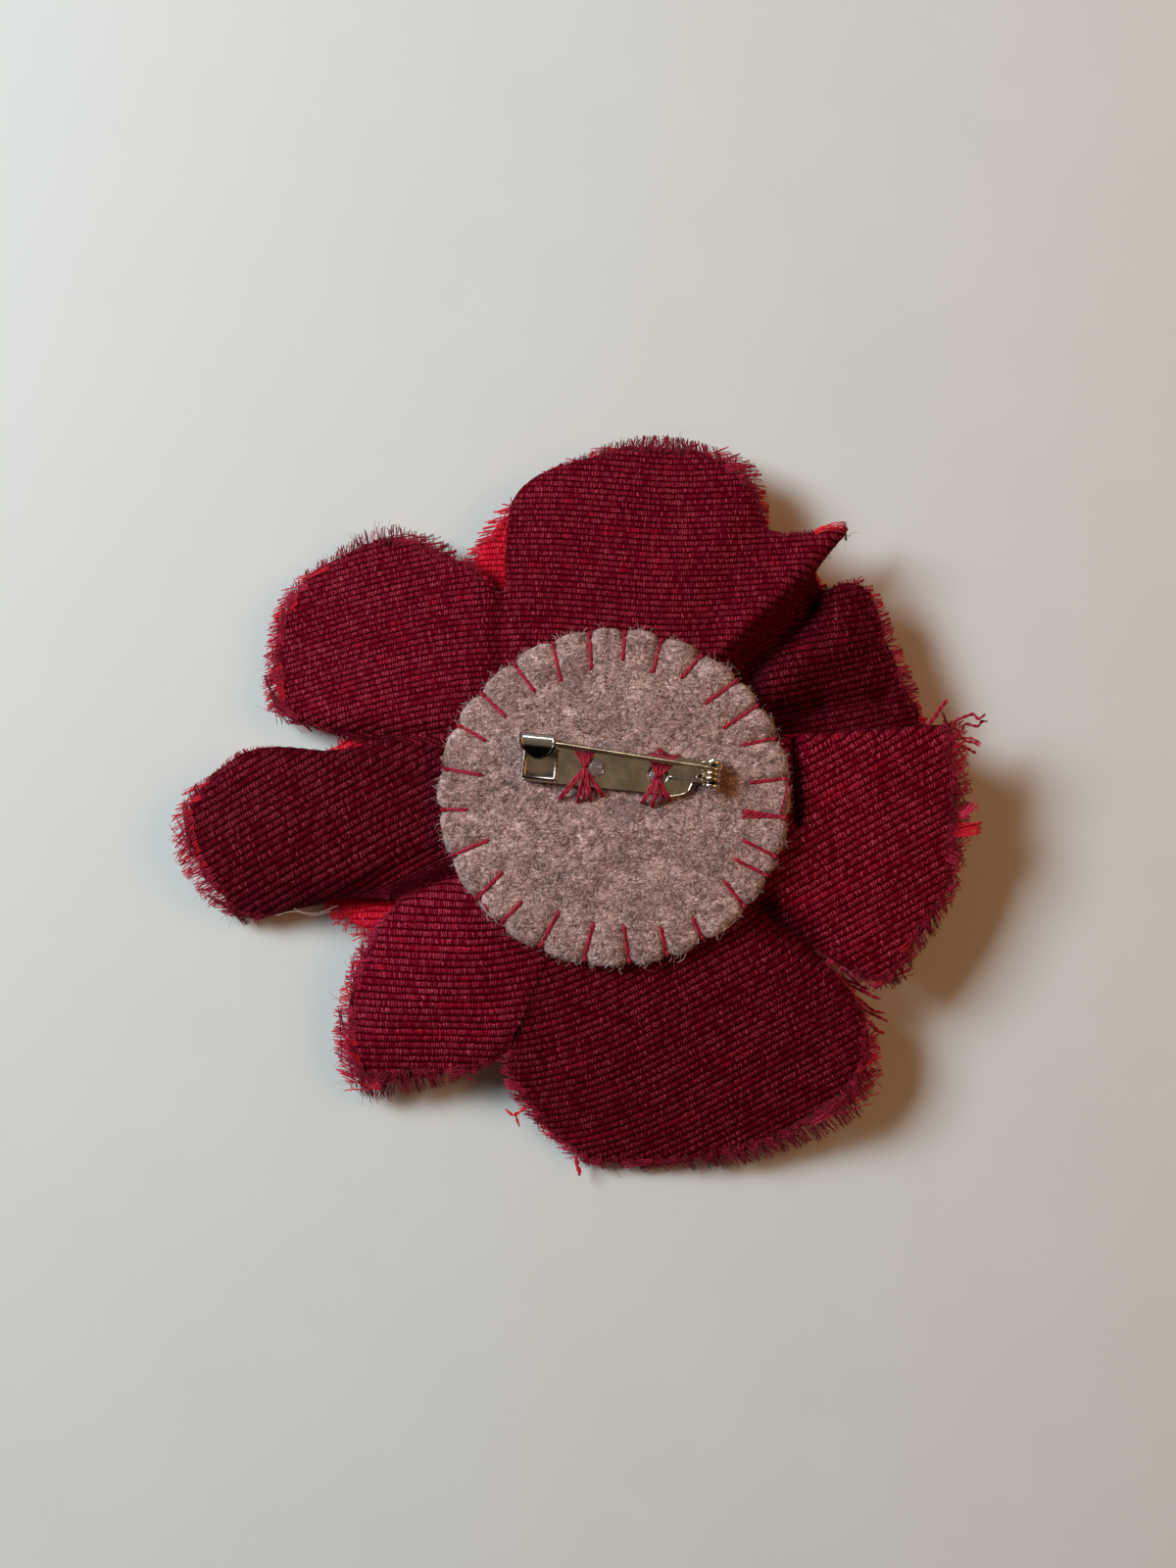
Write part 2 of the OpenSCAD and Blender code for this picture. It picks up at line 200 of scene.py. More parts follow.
def lathe(profile, sides):
    """A closed solid of revolution about z from (radius, z) rows, both ends on the axis."""
    angle = 2 * np.pi * np.arange(sides) / sides
    ring = np.stack([np.cos(angle), np.sin(angle)], axis=1)
    body = profile[1:-1]
    points = np.concatenate([
        np.concatenate([np.tile(ring[:, None], (1, len(body), 1)) * body[None, :, :1],
                        np.tile(body[None, :, 1:], (sides, 1, 1))], axis=2).reshape(-1, 3),
        [[0, 0, profile[0][1]], [0, 0, profile[-1][1]]],
    ])
    m = len(body)
    i = np.arange(sides) * m
    j = np.roll(i, -1)
    start, end = len(points) - 2, len(points) - 1
    caps = np.concatenate([np.stack([np.full(sides, start), i, j], axis=1),
                           np.stack([np.full(sides, end), j + m - 1, i + m - 1], axis=1)])
    return points, [grid_faces(sides, m, wrap=True)[:, ::-1], caps]


def flat_plate(outer, holes, thickness, bevel):
    """A closed plate from z 0 up, with softened edges, from an outline and holes of (x, y) points."""
    steps = [(bevel, 0.0), (0.3 * bevel, 0.1 * bevel), (0.1 * bevel, 0.3 * bevel), (0.0, bevel),
             (0.0, thickness - bevel), (0.1 * bevel, thickness - 0.3 * bevel),
             (0.3 * bevel, thickness - 0.1 * bevel), (bevel, thickness)]
    points, faces, starts, start = [], [], [], 0
    for loop, sign in [(outer, 1)] + [(h, -1) for h in holes]:
        loop = np.asarray(loop, float)
        ahead = unit(np.roll(loop, -1, axis=0) - np.roll(loop, 1, axis=0))
        out = np.stack([ahead[:, 1], -ahead[:, 0]], axis=1) * sign
        n = len(loop)
        for inset, z in steps:
            points.append(np.column_stack([loop - out * inset, np.full(n, z)]))
        i = np.arange(n)
        j = np.roll(i, -1)
        for k in range(len(steps) - 1):
            a = start + k * n
            wall = np.stack([a + i, a + j, a + n + j, a + n + i], axis=1)
            faces.append(wall if sign > 0 else wall[:, ::-1])
        starts.append((start, n))
        start += n * len(steps)
    points = np.concatenate(points)
    for level, flip in ((0, True), (len(steps) - 1, False)):
        index = np.concatenate([s + level * n + np.arange(n) for s, n in starts])
        loops = [[Vector(points[s + level * n + i]) for i in range(n)] for s, n in starts]
        cap = index[np.array(tessellate_polygon(loops))]
        ab = points[cap[:, 1], :2] - points[cap[:, 0], :2]
        ac = points[cap[:, 2], :2] - points[cap[:, 0], :2]
        down = ab[:, 0] * ac[:, 1] - ab[:, 1] * ac[:, 0] < 0
        turn = down if not flip else ~down
        cap[turn] = cap[turn][:, ::-1]
        faces.append(cap)
    return points, faces


def circle(x, y, radius, count):
    angle = 2 * np.pi * np.arange(count) / count
    return np.stack([x + radius * np.cos(angle), y + radius * np.sin(angle)], axis=1)


def moved(part, matrix, offset=(0, 0, 0)):
    points, faces = part
    return points @ np.asarray(matrix, float).T + np.asarray(offset, float), faces


# Materials

class Surface:
    """A node material with one Principled shader."""

    def __init__(self, name, **sockets):
        self.material = bpy.data.materials.new(name)
        self.material.use_nodes = True
        self.tree = self.material.node_tree
        self.shader = self.tree.nodes["Principled BSDF"]
        for key, value in sockets.items():
            self.shader.inputs[key.replace("_", " ")].default_value = value

    def wire(self, socket, value):
        if isinstance(value, bpy.types.NodeSocket):
            self.tree.links.new(value, socket)
        else:
            socket.default_value = value

    def node(self, kind, output=0, settings=(), **inputs):
        n = self.tree.nodes.new(kind)
        for key, value in dict(settings).items():
            setattr(n, key, value)
        for key, value in inputs.items():
            self.wire(n.inputs[key.replace("_", " ")], value)
        return n.outputs[output]

    def maths(self, operation, *values):
        n = self.tree.nodes.new("ShaderNodeMath")
        n.operation = operation
        for socket, value in zip(n.inputs, values):
            self.wire(socket, value)
        return n.outputs[0]

    def blend(self, factor, a, b, mode="MIX"):
        n = self.tree.nodes.new("ShaderNodeMix")
        n.data_type = "RGBA"
        n.blend_type = mode
        for socket, value in zip((n.inputs[0], n.inputs[6], n.inputs[7]), (factor, a, b)):
            self.wire(socket, value if not isinstance(value, tuple) else (*value, 1.0))
        return n.outputs[2]

    def ramp(self, value, stops):
        n = self.tree.nodes.new("ShaderNodeValToRGB")
        n.color_ramp.elements[0].position, n.color_ramp.elements[1].position = stops[0][0], stops[-1][0]
        n.color_ramp.elements[0].color = (*stops[0][1], 1)
        n.color_ramp.elements[1].color = (*stops[-1][1], 1)
        for position, colour in stops[1:-1]:
            n.color_ramp.elements.new(position).color = (*colour, 1)
        self.wire(n.inputs[0], value)
        return n.outputs[0]

    def step(self, value, low, high, to_low=0.0, to_high=1.0):
        """value from low to high as to_low to to_high, with a soft step."""
        return self.node("ShaderNodeMapRange", settings={"interpolation_type": "SMOOTHSTEP"}, Value=value,
                         From_Min=low, From_Max=high, To_Min=to_low, To_Max=to_high)

    def attribute(self, name, output):
        return self.node("ShaderNodeAttribute", output=output, settings={"attribute_name": name})

    def combine(self, x, y, z=0.0):
        return self.node("ShaderNodeCombineXYZ", X=x, Y=y, Z=z)

    def grain(self, vector, scale, detail=2.0, rough=0.5, distort=0.0):
        return self.node("ShaderNodeTexNoise", Vector=vector, Scale=scale, Detail=detail,
                         Roughness=rough, Distortion=distort)

    def bump(self, height, distance, strength=1.0, normal=None):
        n = self.tree.nodes.new("ShaderNodeBump")
        self.wire(n.inputs["Height"], height)
        n.inputs["Distance"].default_value = distance
        n.inputs["Strength"].default_value = strength
        if normal is not None:
            self.tree.links.new(normal, n.inputs["Normal"])
        return n.outputs[0]

    def finish(self, colour=None, normal=None, roughness=None):
        for key, value in (("Base Color", colour), ("Normal", normal), ("Roughness", roughness)):
            if value is not None:
                self.wire(self.shader.inputs[key], value)
        return self.material


STROKE_PITCH = 0.32
TURN = 2 * math.pi


def cloth_material(name, gap, base, middle, light, fuzz, slub):
    """Ribbed weave: each rib is a row of short slanting strokes, and the cut edge turns to fuzz."""
    s = Surface(name, Specular_IOR_Level=0.02)
    weave = s.attribute("weave", 1)
    parts = s.tree.nodes.new("ShaderNodeSeparateXYZ")
    s.tree.links.new(weave, parts.inputs[0])
    along, across, edge = parts.outputs
    slant = s.attribute("tone", 2)
    wander = s.maths("MULTIPLY", s.maths("SUBTRACT", s.grain(weave, 1.1, 3.0), 0.5), 0.3)
    rough = s.maths("MULTIPLY", s.maths("SUBTRACT", s.grain(weave, 4.2, 3.0, 0.6), 0.5), 0.55)
    rib = s.maths("ADD", s.maths("ADD", across, wander), rough)
    rib_number = s.maths("ROUND", rib)
    off_rib = s.maths("SUBTRACT", rib, rib_number)
    cord = s.maths("MULTIPLY_ADD", s.maths("COSINE", s.maths("MULTIPLY", rib, TURN)), 0.5, 0.5)
    shift = s.node("ShaderNodeTexWhiteNoise", settings={"noise_dimensions": "1D"}, W=rib_number)
    drift = s.grain(s.combine(along, s.maths("MULTIPLY", rib_number, 5.0)), 0.9)
    place = s.maths("MULTIPLY_ADD", along, 1 / STROKE_PITCH, s.maths("MULTIPLY", shift, 7.0))
    place = s.maths("ADD", place, s.maths("MULTIPLY", drift, 3.0))
    place = s.maths("ADD", place, s.maths("MULTIPLY", s.grain(weave, 2.2, 2.0), 1.5))
    place = s.maths("MULTIPLY_ADD", off_rib, s.maths("DIVIDE", slant, STROKE_PITCH), place)
    stroke = s.maths("MULTIPLY_ADD", s.maths("COSINE", s.maths("MULTIPLY", place, TURN)), 0.5, 0.5)
    stroke_number = s.maths("FLOOR", s.maths("ADD", place, 0.5))
    chance = s.node("ShaderNodeTexWhiteNoise", settings={"noise_dimensions": "2D"},
                    Vector=s.combine(rib_number, stroke_number))
    patch = s.grain(weave, 0.16, 3.0, 0.6)
    fine = s.grain(weave, 6.5, 4.0, 0.75)
    # Near a cut edge the ribs come apart
    ragged = s.maths("SUBTRACT", s.grain(weave, 1.3, 3.0), 0.5)
    sound = s.step(s.maths("MULTIPLY_ADD", ragged, 0.9, edge), -0.05, 0.40)
    reach = s.node("ShaderNodeTexWhiteNoise", settings={"noise_dimensions": "2D"},
                   Vector=s.combine(stroke_number, rib_number))
    # The grooves between the ribs are coloured dark, a painted shade beside their relief, and the strokes' tops pale
    # pink, a painted highlight
    rib_width = s.step(s.maths("MULTIPLY_ADD", reach, 0.20, cord), 0.14, 0.44)
    strength = s.maths("MULTIPLY_ADD", chance, 1.1, 0.30)
    lit = s.maths("MULTIPLY", s.maths("POWER", stroke, 1.7), strength)
    level = s.maths("MULTIPLY", rib_width, s.maths("MULTIPLY_ADD", lit, 0.72, 0.27))
    level = s.maths("MULTIPLY", level, s.step(patch, 0.25, 0.75, 0.86, 1.10))
    level = s.maths("ADD", level, s.maths("MULTIPLY", s.maths("SUBTRACT", fine, 0.5), 0.26))
    colour = s.ramp(level, [(0.0, gap), (0.26, base), (0.55, middle), (1.0, light)])
    # Brighter yarn that shows here and there between the strokes
    slubs = s.attribute("slub", 2)
    dot = s.maths("GREATER_THAN", s.maths("ADD", chance, s.maths("MULTIPLY", slubs, 0.5)), 0.9958)
    spot = s.maths("MULTIPLY", s.maths("MULTIPLY", dot, s.maths("MULTIPLY", cord, stroke)),
                   s.step(chance, 0.0, 1.0, 0.5, 1.0))
    spot = s.maths("MAXIMUM", spot, s.maths("MULTIPLY", s.maths("MULTIPLY", slubs, 0.25), rib_width))
    colour = s.blend(spot, colour, slub)
    strand = s.grain(s.combine(along, s.maths("MULTIPLY", across, 0.6)), 4.5, 4.0, 0.7, 1.5)
    fuzz_colour = s.ramp(strand, [(0.30, tuple(0.16 * c for c in fuzz)), (0.52, tuple(0.5 * c for c in fuzz)),
                                  (0.72, fuzz)])
    colour = s.blend(sound, fuzz_colour, colour)
    # Painted shade: the colour is multiplied by the shade factor of each part of the cloth
    shade = s.attribute("shade", 2)
    colour = s.blend(1.0, colour, shade, "MULTIPLY")
    height = s.maths("MULTIPLY", cord, s.maths("MULTIPLY_ADD", stroke, 0.45, 0.55))
    height = s.maths("MULTIPLY_ADD", height, sound, s.maths("MULTIPLY", strand, 0.6))
    height = s.maths("MULTIPLY_ADD", fine, 0.22, height)
    return s.finish(colour, s.bump(height, 0.00014, 0.9), s.step(fine, 0.3, 0.7, 0.78, 0.97))


def thread_material(name, stops, rough, sheen=0.15):
    """Spun fibre, whose colour runs with the tone of each strand."""
    s = Surface(name, Sheen_Weight=sheen, Sheen_Roughness=0.4, Specular_IOR_Level=0.35)
    place = s.node("ShaderNodeTexCoord", output=3)
    fleck = s.grain(place, 2600.0, 3.0, 0.6)
    tone = s.maths("ADD", s.attribute("tone", 2), s.maths("MULTIPLY", s.maths("SUBTRACT", fleck, 0.5), 0.5))
    return s.finish(s.ramp(tone, stops), s.bump(fleck, 0.00006, 0.8), s.step(fleck, 0.3, 0.7, rough - 0.1, rough + 0.1))


# gap is the painted shade in the grooves between the ribs, light the painted highlight on the strokes
BURGUNDY = dict(gap=(0.044, 0.0, 0.0010), base=(0.116, 0.0001, 0.0060), middle=(0.210, 0.0050, 0.021),
                light=(0.44, 0.054, 0.086), fuzz=(0.36, 0.005, 0.032), slub=(0.52, 0.003, 0.020))
RED = dict(gap=(0.22, 0.0005, 0.006), base=(0.46, 0.002, 0.016), middle=(0.70, 0.009, 0.030),
           light=(0.88, 0.060, 0.080), fuzz=(0.82, 0.012, 0.036), slub=(0.30, 0.003, 0.02))
burgundy_cloth = cloth_material("burgundy_rib", **BURGUNDY)
red_cloth = cloth_material("red_rib", **RED)
fray_thread = thread_material("frayed_yarn", [(0.0, (0.070, 0.0003, 0.004)), (0.3, (0.22, 0.0012, 0.014)),
                                              (0.55, (0.45, 0.006, 0.044)), (0.7, (0.60, 0.030, 0.088)),
                                              (0.78, (0.52, 0.003, 0.020)), (1.0, (0.76, 0.006, 0.024))], 0.9, 0.0)
stitch_thread = thread_material("crimson_thread", [(0.0, (0.09, 0.0002, 0.006)), (0.5, (0.37, 0.0010, 0.026)),
                                                   (1.0, (0.60, 0.007, 0.058))], 0.55, 0.01)



# Back cloth. A row is one ray: [x, y, height] of its end at the rim, the root angle at which it leaves
# the hub, and how far the cut edge frays there.
CLOTH_T = 1.0
CLOTH_Z = 15.4
HUB_R = 14.0
# [ease of the fall, distance between rays at the rim, rows]
PETALS = {
    "right": [1.5, 0.33, [
        [25.6, -19.2, 12.2, -42, 0.4], [34.7, -24.2, 10.3, -22, 1.6], [39.5, -19, 10.5, -10, 1.7],
        [43.4, -12.5, 10.5, -1, 1.6], [44.6, -5.5, 11.5, 7, 1.9], [44.8, 2.0, 12, 17, 1.8],
        [43.9, 8.7, 12.5, 28.5, 2.2]]],
    "right_tuck": [0.6, 0.33, [[43.3, 8.2, 11.0, 30.5, 1.1], [41.4, 7.9, 9.0, 32.5, 0]]],
    "upper_right": [0.6, 0.4, [
        [40.4, 9.6, 7.8, 35.5, 0.6], [38.5, 15, 8, 39, 1.3], [36, 20.5, 8.5, 41, 1.5],
        [34, 26, 9, 43, 1.2], [31, 28, 9, 44.5, 0.8], [27.8, 27.3, 8.5, 47.5, 0.5]]],
    "upper_tuck": [0.85, 0.4, [[26.4, 29.6, 7.6, 51.5, 0.4], [29, 33.4, 8.8, 56, 0.7]]],
    "top": [1.6, 0.5, [
        [30, 35, 10.5, 60, 1.0], [25, 34.3, 10, 66, 0.8], [20.2, 34.6, 9.5, 69, 0.6],
        [19.5, 38, 8.5, 71, 1.4], [18, 42, 8, 75, 1.6], [14, 44.8, 7, 80, 1.6], [8, 46.5, 6, 85, 1.6],
        [1.5, 46.5, 5.5, 90, 1.4], [-8.5, 43, 5.5, 96, 0.5], [-13, 39, 6, 101, 0.1],
        [-14, 32.5, 9, 105, 0]]],
    "upper_left": [1.6, 0.42, [
        [-14.5, 26.5, 11.5, 117, 0.1], [-20, 31, 9, 126, 1.2], [-29.5, 34.8, 5, 130, 2.0],
        [-37.5, 31.3, 4, 134, 1.5], [-42.8, 26.8, 3.8, 137, 1.4], [-45.0, 21, 3.5, 140, 1.6],
        [-45.2, 14.5, 3.5, 144, 2.1], [-44, 11, 4, 147, 1.7], [-38.5, 9, 6, 151, 1.0]]],
    "left": [1.7, 0.3, [
        [-31, 7, 10.5, 160, 0.4], [-38, 5.8, 9.5, 168, 0.4], [-47.5, 6.3, 8, 171, 0.5],
        [-52.5, 3, 7, 174, 0.8], [-56, -0.5, 6, 177, 1.4], [-57.0, -4.5, 5.5, 180, 2.2],
        [-54.6, -10.8, 5, 184, 2.4], [-49.3, -16, 4, 187, 1.8], [-42, -14.5, 5, 190, 0.3],
        [-35, -13, 7.5, 194, 0]]],
    "lower_left": [1.6, 0.42, [
        [-28.5, -13.5, 10, 204, 0.1], [-31, -17, 8, 213, 0.9], [-34, -22, 6, 217, 1.5],
        [-35.4, -28, 5, 221, 2.0], [-35.5, -34, 4, 225, 2.3], [-33.2, -38.4, 3, 229, 2.9],
        [-25.5, -37.6, 5, 233, 2.3], [-17, -35.3, 8, 238, 1.0]]],
    "bottom": [1.7, 0.55, [
        [-13.5, -32.3, 10, 247, 0.5], [-14, -37, 7, 256, 1.2], [-10.5, -42.5, 4, 261, 1.4],
        [-4.5, -48.3, 2.5, 267, 1.4], [2.5, -49, 2, 273, 1.5], [10, -48.8, 2.5, 279, 1.8],
        [21, -46.5, 4, 287, 2.4], [30.8, -40.6, 7, 295, 2.9], [33.6, -34, 8.5, 303, 1.8],
        [32, -27, 10.5, 311, 1.0]]],
}
RAYS = np.array([[*row[:4], ease, row[4]] for ease, _, rows in PETALS.values() for row in rows], float)
RAY_GAPS = np.array([gap for _, gap, rows in PETALS.values() for _ in rows])
LAP = np.array([0, 0, 0, 360.0, 0, 0])
names = [name for name, (_, _, rows) in PETALS.items() for _ in rows]
LEFT_START, LEFT_END = names.index("upper_left"), names.index("bottom")


def ray_at(rays, u):
    """Rows of the closed curve through a list of rays, at places u along the list."""
    n = len(rays)
    i = np.floor(u).astype(int)
    t = (u - i)[:, None]
    a, b, c, d = [rays[(i + k) % n] + ((i + k) // n)[:, None] * LAP for k in (-1, 0, 1, 2)]
    return b + ((c - a) * t + (2 * a - 5 * b + 4 * c - d) * t ** 2 + (3 * b - a - 3 * c + d) * t ** 3) / 2


def places(rays, gaps, start, end):
    """Places along the list from start to end, a gap apart at the rim."""
    out = []
    n = len(rays)
    for i in range(start, end):
        length = np.linalg.norm(rays[(i + 1) % n][:2] - rays[i % n][:2])
        out.append(i + np.linspace(0, 1, max(4, int(length / gaps[i % n])), endpoint=False))
    return np.concatenate(out + [[end]])


# The ribs' own coordinate, which grows by one from rib to rib. Below the middle the ribs turn round a
# point from level to a slope, the left petal's lie at that slope, and above they wave a little.
TURN_X, TURN_Y, LOWER_SLOPE = -18.7, 10.0, math.radians(28.5)
LEFT_SLOPE, CORNER_SLOPE = math.radians(28), math.radians(14)
LOWER_PITCH, LEFT_PITCH, UPPER_PITCH, CORNER_PITCH = 0.92, 0.955, 0.79, 0.83
WAVE_X = np.array([-60.0, -34, -22, -6, 3, 12, 60])
WAVE_SLOPE = np.tan(np.radians([15.0, 15, 9, -5, -5.5, 3.4, 3.4]))
WAVE_STEPS = np.linspace(-60, 60, 601)
WAVE_RISE = np.cumsum(np.interp(WAVE_STEPS, WAVE_X, WAVE_SLOPE)) * 0.2
WAVE_RISE -= np.interp(0.0, WAVE_STEPS, WAVE_RISE)


def rib_field(x, y, root):
    """(number of the rib, slope of the ribs) at points whose ray has this root angle."""
    root = (root + 42) % 360 - 42
    turn = np.clip(np.arctan2(x - TURN_X, np.maximum(TURN_Y - y, 1e-6)), 0, LOWER_SLOPE)
    turn = np.where((y > TURN_Y) & (x > TURN_X), LOWER_SLOPE, turn)
    lower = ((y - TURN_Y) * np.cos(turn) - (x - TURN_X) * np.sin(turn) + TURN_Y) / LOWER_PITCH
    upper = (y - np.interp(x, WAVE_STEPS, WAVE_RISE)) / UPPER_PITCH
    upper_slope = np.arctan(np.interp(x, WAVE_X, WAVE_SLOPE))
    left = (y * math.cos(LEFT_SLOPE) - x * math.sin(LEFT_SLOPE)) / LEFT_PITCH - 5.3
    corner = (y * math.cos(CORNER_SLOPE) - x * math.sin(CORNER_SLOPE)) / CORNER_PITCH
    in_left = smooth(149, 158, root) * (1 - smooth(195, 205, root))
    in_corner = smooth(30, 34, root) * (1 - smooth(48, 56, root))
    in_lower = np.where(root < 100, 1 - smooth(30, 34, root), smooth(195, 205, root))
    in_upper = 1 - np.minimum(in_left + in_corner + in_lower, 1)
    across = in_left * left + in_corner * corner + in_lower * lower + in_upper * upper
    slope = in_left * LEFT_SLOPE + in_corner * CORNER_SLOPE + in_lower * turn + in_upper * upper_slope
    return across + 0.22 * noise(x, y, 11.0, 3), slope


# Painted shade: how much darker or lighter each part of the back cloth is coloured, for strokes that turn away from the
# light and for the shadow on the recessed petal at the upper right
SHADE_ROOT = [-42, -20, 28.5, 31.5, 46, 54, 148, 158, 196, 206, 236, 252, 318]
SHADE = [0.76, 1.07, 1.07, 0.50, 0.51, 0.89, 0.89, 0.58, 0.61, 1.05, 1.0, 0.76, 0.76]


# Slubs: the pixels where each begins and ends, and how strongly it shows
SLUBS = [[803, 923, 865, 905, 0.8], [855, 900, 880, 890, 0.5], [833, 820, 868, 800, 0.9],
         [890, 785, 915, 772, 0.6], [892, 886, 895, 884, 1.2], [903, 880, 922, 876, 0.6],
         [941, 858, 946, 856, 1.2], [829, 801, 845, 796, 0.5], [884, 948, 892, 945, 0.6],
         [868, 967, 874, 965, 0.7], [903, 933, 908, 931, 0.5], [810, 754, 813, 753, 0.7],
         [576, 1164, 636, 1156, 1.0], [675, 1148, 711, 1139, 0.9], [728, 1119, 765, 1102, 0.9],
         [737, 1085, 741, 1083, 1.2], [745, 1079, 765, 1071, 0.5], [579, 1087, 595, 1084, 0.8],
         [570, 1096, 573, 1095, 0.7], [608, 1111, 632, 1109, 0.5], [552, 1051, 566, 1044, 0.8],
         [712, 1047, 716, 1045, 0.7], [789, 1085, 793, 1083, 0.6], [651, 1138, 654, 1137, 0.8],
         [851, 1074, 855, 1072, 0.7], [413, 967, 507, 969, 0.5], [459, 944, 463, 944, 0.6],
         [446, 1026, 503, 1029, 0.75], [376, 1056, 498, 1055, 0.6], [474, 999, 479, 999, 0.7],
         [404, 955, 411, 961, 0.7], [418, 940, 423, 940, 0.7], [386, 984, 392, 984, 0.5],
         [440, 613, 444, 613, 1.0], [472, 608, 478, 608, 0.6], [401, 635, 407, 639, 0.7],
         [409, 652, 413, 652, 0.7], [365, 658, 369, 658, 0.6], [471, 641, 477, 641, 0.7],
         [388, 675, 393, 674, 0.7], [350, 704, 355, 703, 0.9], [318, 724, 324, 722, 0.6],
         [418, 691, 444, 692, 0.4], [371, 718, 396, 708, 0.4], [618, 540, 625, 541, 1.1],
         [644, 542, 650, 542, 1.0], [662, 543, 668, 543, 0.6], [542, 578, 549, 578, 0.9],
         [635, 580, 639, 580, 0.7], [667, 581, 673, 582, 0.8], [578, 511, 583, 511, 0.6],
         [578, 575, 608, 577, 0.4], [679, 478, 684, 478, 0.6], [712, 623, 722, 623, 0.4],
         [568, 636, 580, 638, 0.6], [653, 568, 672, 569, 0.5], [786, 574, 790, 574, 0.5],
         [358, 892, 363, 891, 0.7], [388, 893, 393, 892, 0.7], [411, 886, 418, 884, 1.0],
         [432, 879, 438, 877, 0.6], [333, 913, 385, 898, 0.7], [420, 758, 426, 757, 0.8],
         [810, 661, 824, 662, 1.1], [856, 654, 861, 652, 0.8], [781, 668, 786, 667, 0.5],
         [811, 708, 816, 708, 0.6]]


def slub_strength(points):
    """How strongly a slub shows at points of the back cloth."""
    total = np.zeros(points.shape[:-1])
    seen = EYE[2] / (EYE[2] - points[..., 2])
    px = (points[..., 0] + FELT_CENTRE[0] - EYE[0]) * seen / MM_PER_PIXEL + PHOTO_MIDDLE[0]
    py = (EYE[1] - points[..., 1] - FELT_CENTRE[1]) * seen / MM_PER_PIXEL + PHOTO_MIDDLE[1]
    for x0, y0, x1, y1, strength in SLUBS:
        wx, wy = x1 - x0, y1 - y0
        t = np.clip(((px - x0) * wx + (py - y0) * wy) / (wx * wx + wy * wy), 0, 1)
        d = np.hypot(px - x0 - t * wx, py - y0 - t * wy)
        total = np.maximum(total, strength * np.exp(-(d / 3.6) ** 2))
    return total


# Where the back cloth is drawn down between two petals: [x, y, x, y, width, depth]
DIPS = [[17.5, 15.5, 26, 24.5, 2.1, 3.8], [20, 9.6, 27, 11.5, 1.9, 3.0], [27, 11.5, 35, 12.5, 1.8, 1.4],
        [22.9, 7, 23.2, -3, 1.0, 2.4], [19, -14.5, 26, -19.5, 2.0, 3.2], [-20.5, -10, -28, -13, 1.6, 1.8],
        [-14.5, 17, -14.5, 25, 1.3, 1.0], [-21, 8.5, -32, 8, 1.2, 0.9], [20.5, 15.5, 30, 20, 2.6, -1.3],
        [-50, -16, -31, -13.2, 2.6, 1.6], [-31, 7.6, -52, 5, 2.2, 1.2], [-15, -37, -5, -48, 3.2, 1.0]]


def dip_depth(x, y):
    """How far the dips lower the back cloth at a point."""
    total = np.zeros(np.shape(x))
    rise = np.zeros(np.shape(x))
    for x0, y0, x1, y1, width, depth in DIPS:
        wx, wy = x1 - x0, y1 - y0
        t = np.clip(((x - x0) * wx + (y - y0) * wy) / (wx * wx + wy * wy), 0, 1)
        d = np.hypot(x - x0 - t * wx, y - y0 - t * wy)
        total = np.maximum(total, depth * np.exp(-(d / width) ** 2))
        rise = np.minimum(rise, depth * np.exp(-(d / width) ** 2))
    return total + rise


def cloth_points(rays, u, s, hub_r, hub_z, seed):
    """Middle surface, its normals, the weave's coordinates and the distance to a cut edge."""
    row = ray_at(rays, u)
    root_angle = np.radians(row[:, 3])
    root = hub_r * np.stack([np.cos(root_angle), np.sin(root_angle)], axis=1)
    end = row[:, :2]
    length = np.linalg.norm(end - root, axis=1)
    step = np.gradient(end, axis=0)
    arc = np.cumsum(np.linalg.norm(step, axis=1))
    ray_way = (end - root) / length[:, None]
    rim_way = unit(step)
    facing = np.abs(ray_way[:, 0] * rim_way[:, 1] - ray_way[:, 1] * rim_way[:, 0])
    cut = smooth(0.05, 0.5, row[:, 5])
    jag = (0.30 * noise(arc, arc * 0, 0.55, seed) + 0.42 * noise(arc, arc * 0, 2.4, seed + 1)) * cut
    jag = jag - (0.42 * row[:, 5] + 0.04 * row[:, 5] ** 2) * cut
    s = s[None, :] + (jag / length)[:, None] * smooth(0.93, 1.0, s)[None, :]
    xy = mix(root[:, None, :], end[:, None, :], s[..., None])
    z = mix(hub_z, row[:, 2:3], np.maximum(s, 0) ** row[:, 4:5])
    out = smooth(0.25, 0.75, s)
    z = z + out * (0.32 * noise(xy[..., 0], xy[..., 1], 8.5, seed + 2)
                   + 0.12 * noise(xy[..., 0], xy[..., 1], 3.6, seed + 3))
    dip = dip_depth(xy[..., 0], xy[..., 1]) * smooth(0.1, 0.25, s)
    z = z - dip if rays is RAYS else np.maximum(z - 1.1 * np.maximum(dip, 0), np.minimum(z, 1.2))
    edge = (1 - s) * (length * np.maximum(facing, 0.3))[:, None]
    z = z - 0.35 * cut[:, None] * (1 - smooth(0.0, 2.5, edge))
    middle = np.concatenate([xy, z[..., None]], axis=2)
    normal = unit(np.cross(np.gradient(middle, axis=1), np.gradient(middle, axis=0)))
    normal *= np.sign(normal[..., 2:] + 1e-9)
    across, slope = rib_field(xy[..., 0], xy[..., 1], np.broadcast_to(row[:, 3:4], s.shape))
    edge = edge * 1.4 / np.clip(row[:, 5:6], 0.8, 3.0) + 4 * (1 - cut)[:, None]
    weave = np.stack([xy[..., 0], across, edge], axis=2)
    return middle, normal, weave, slope


RIB_H = 0.085
UNDER_ROWS = 22


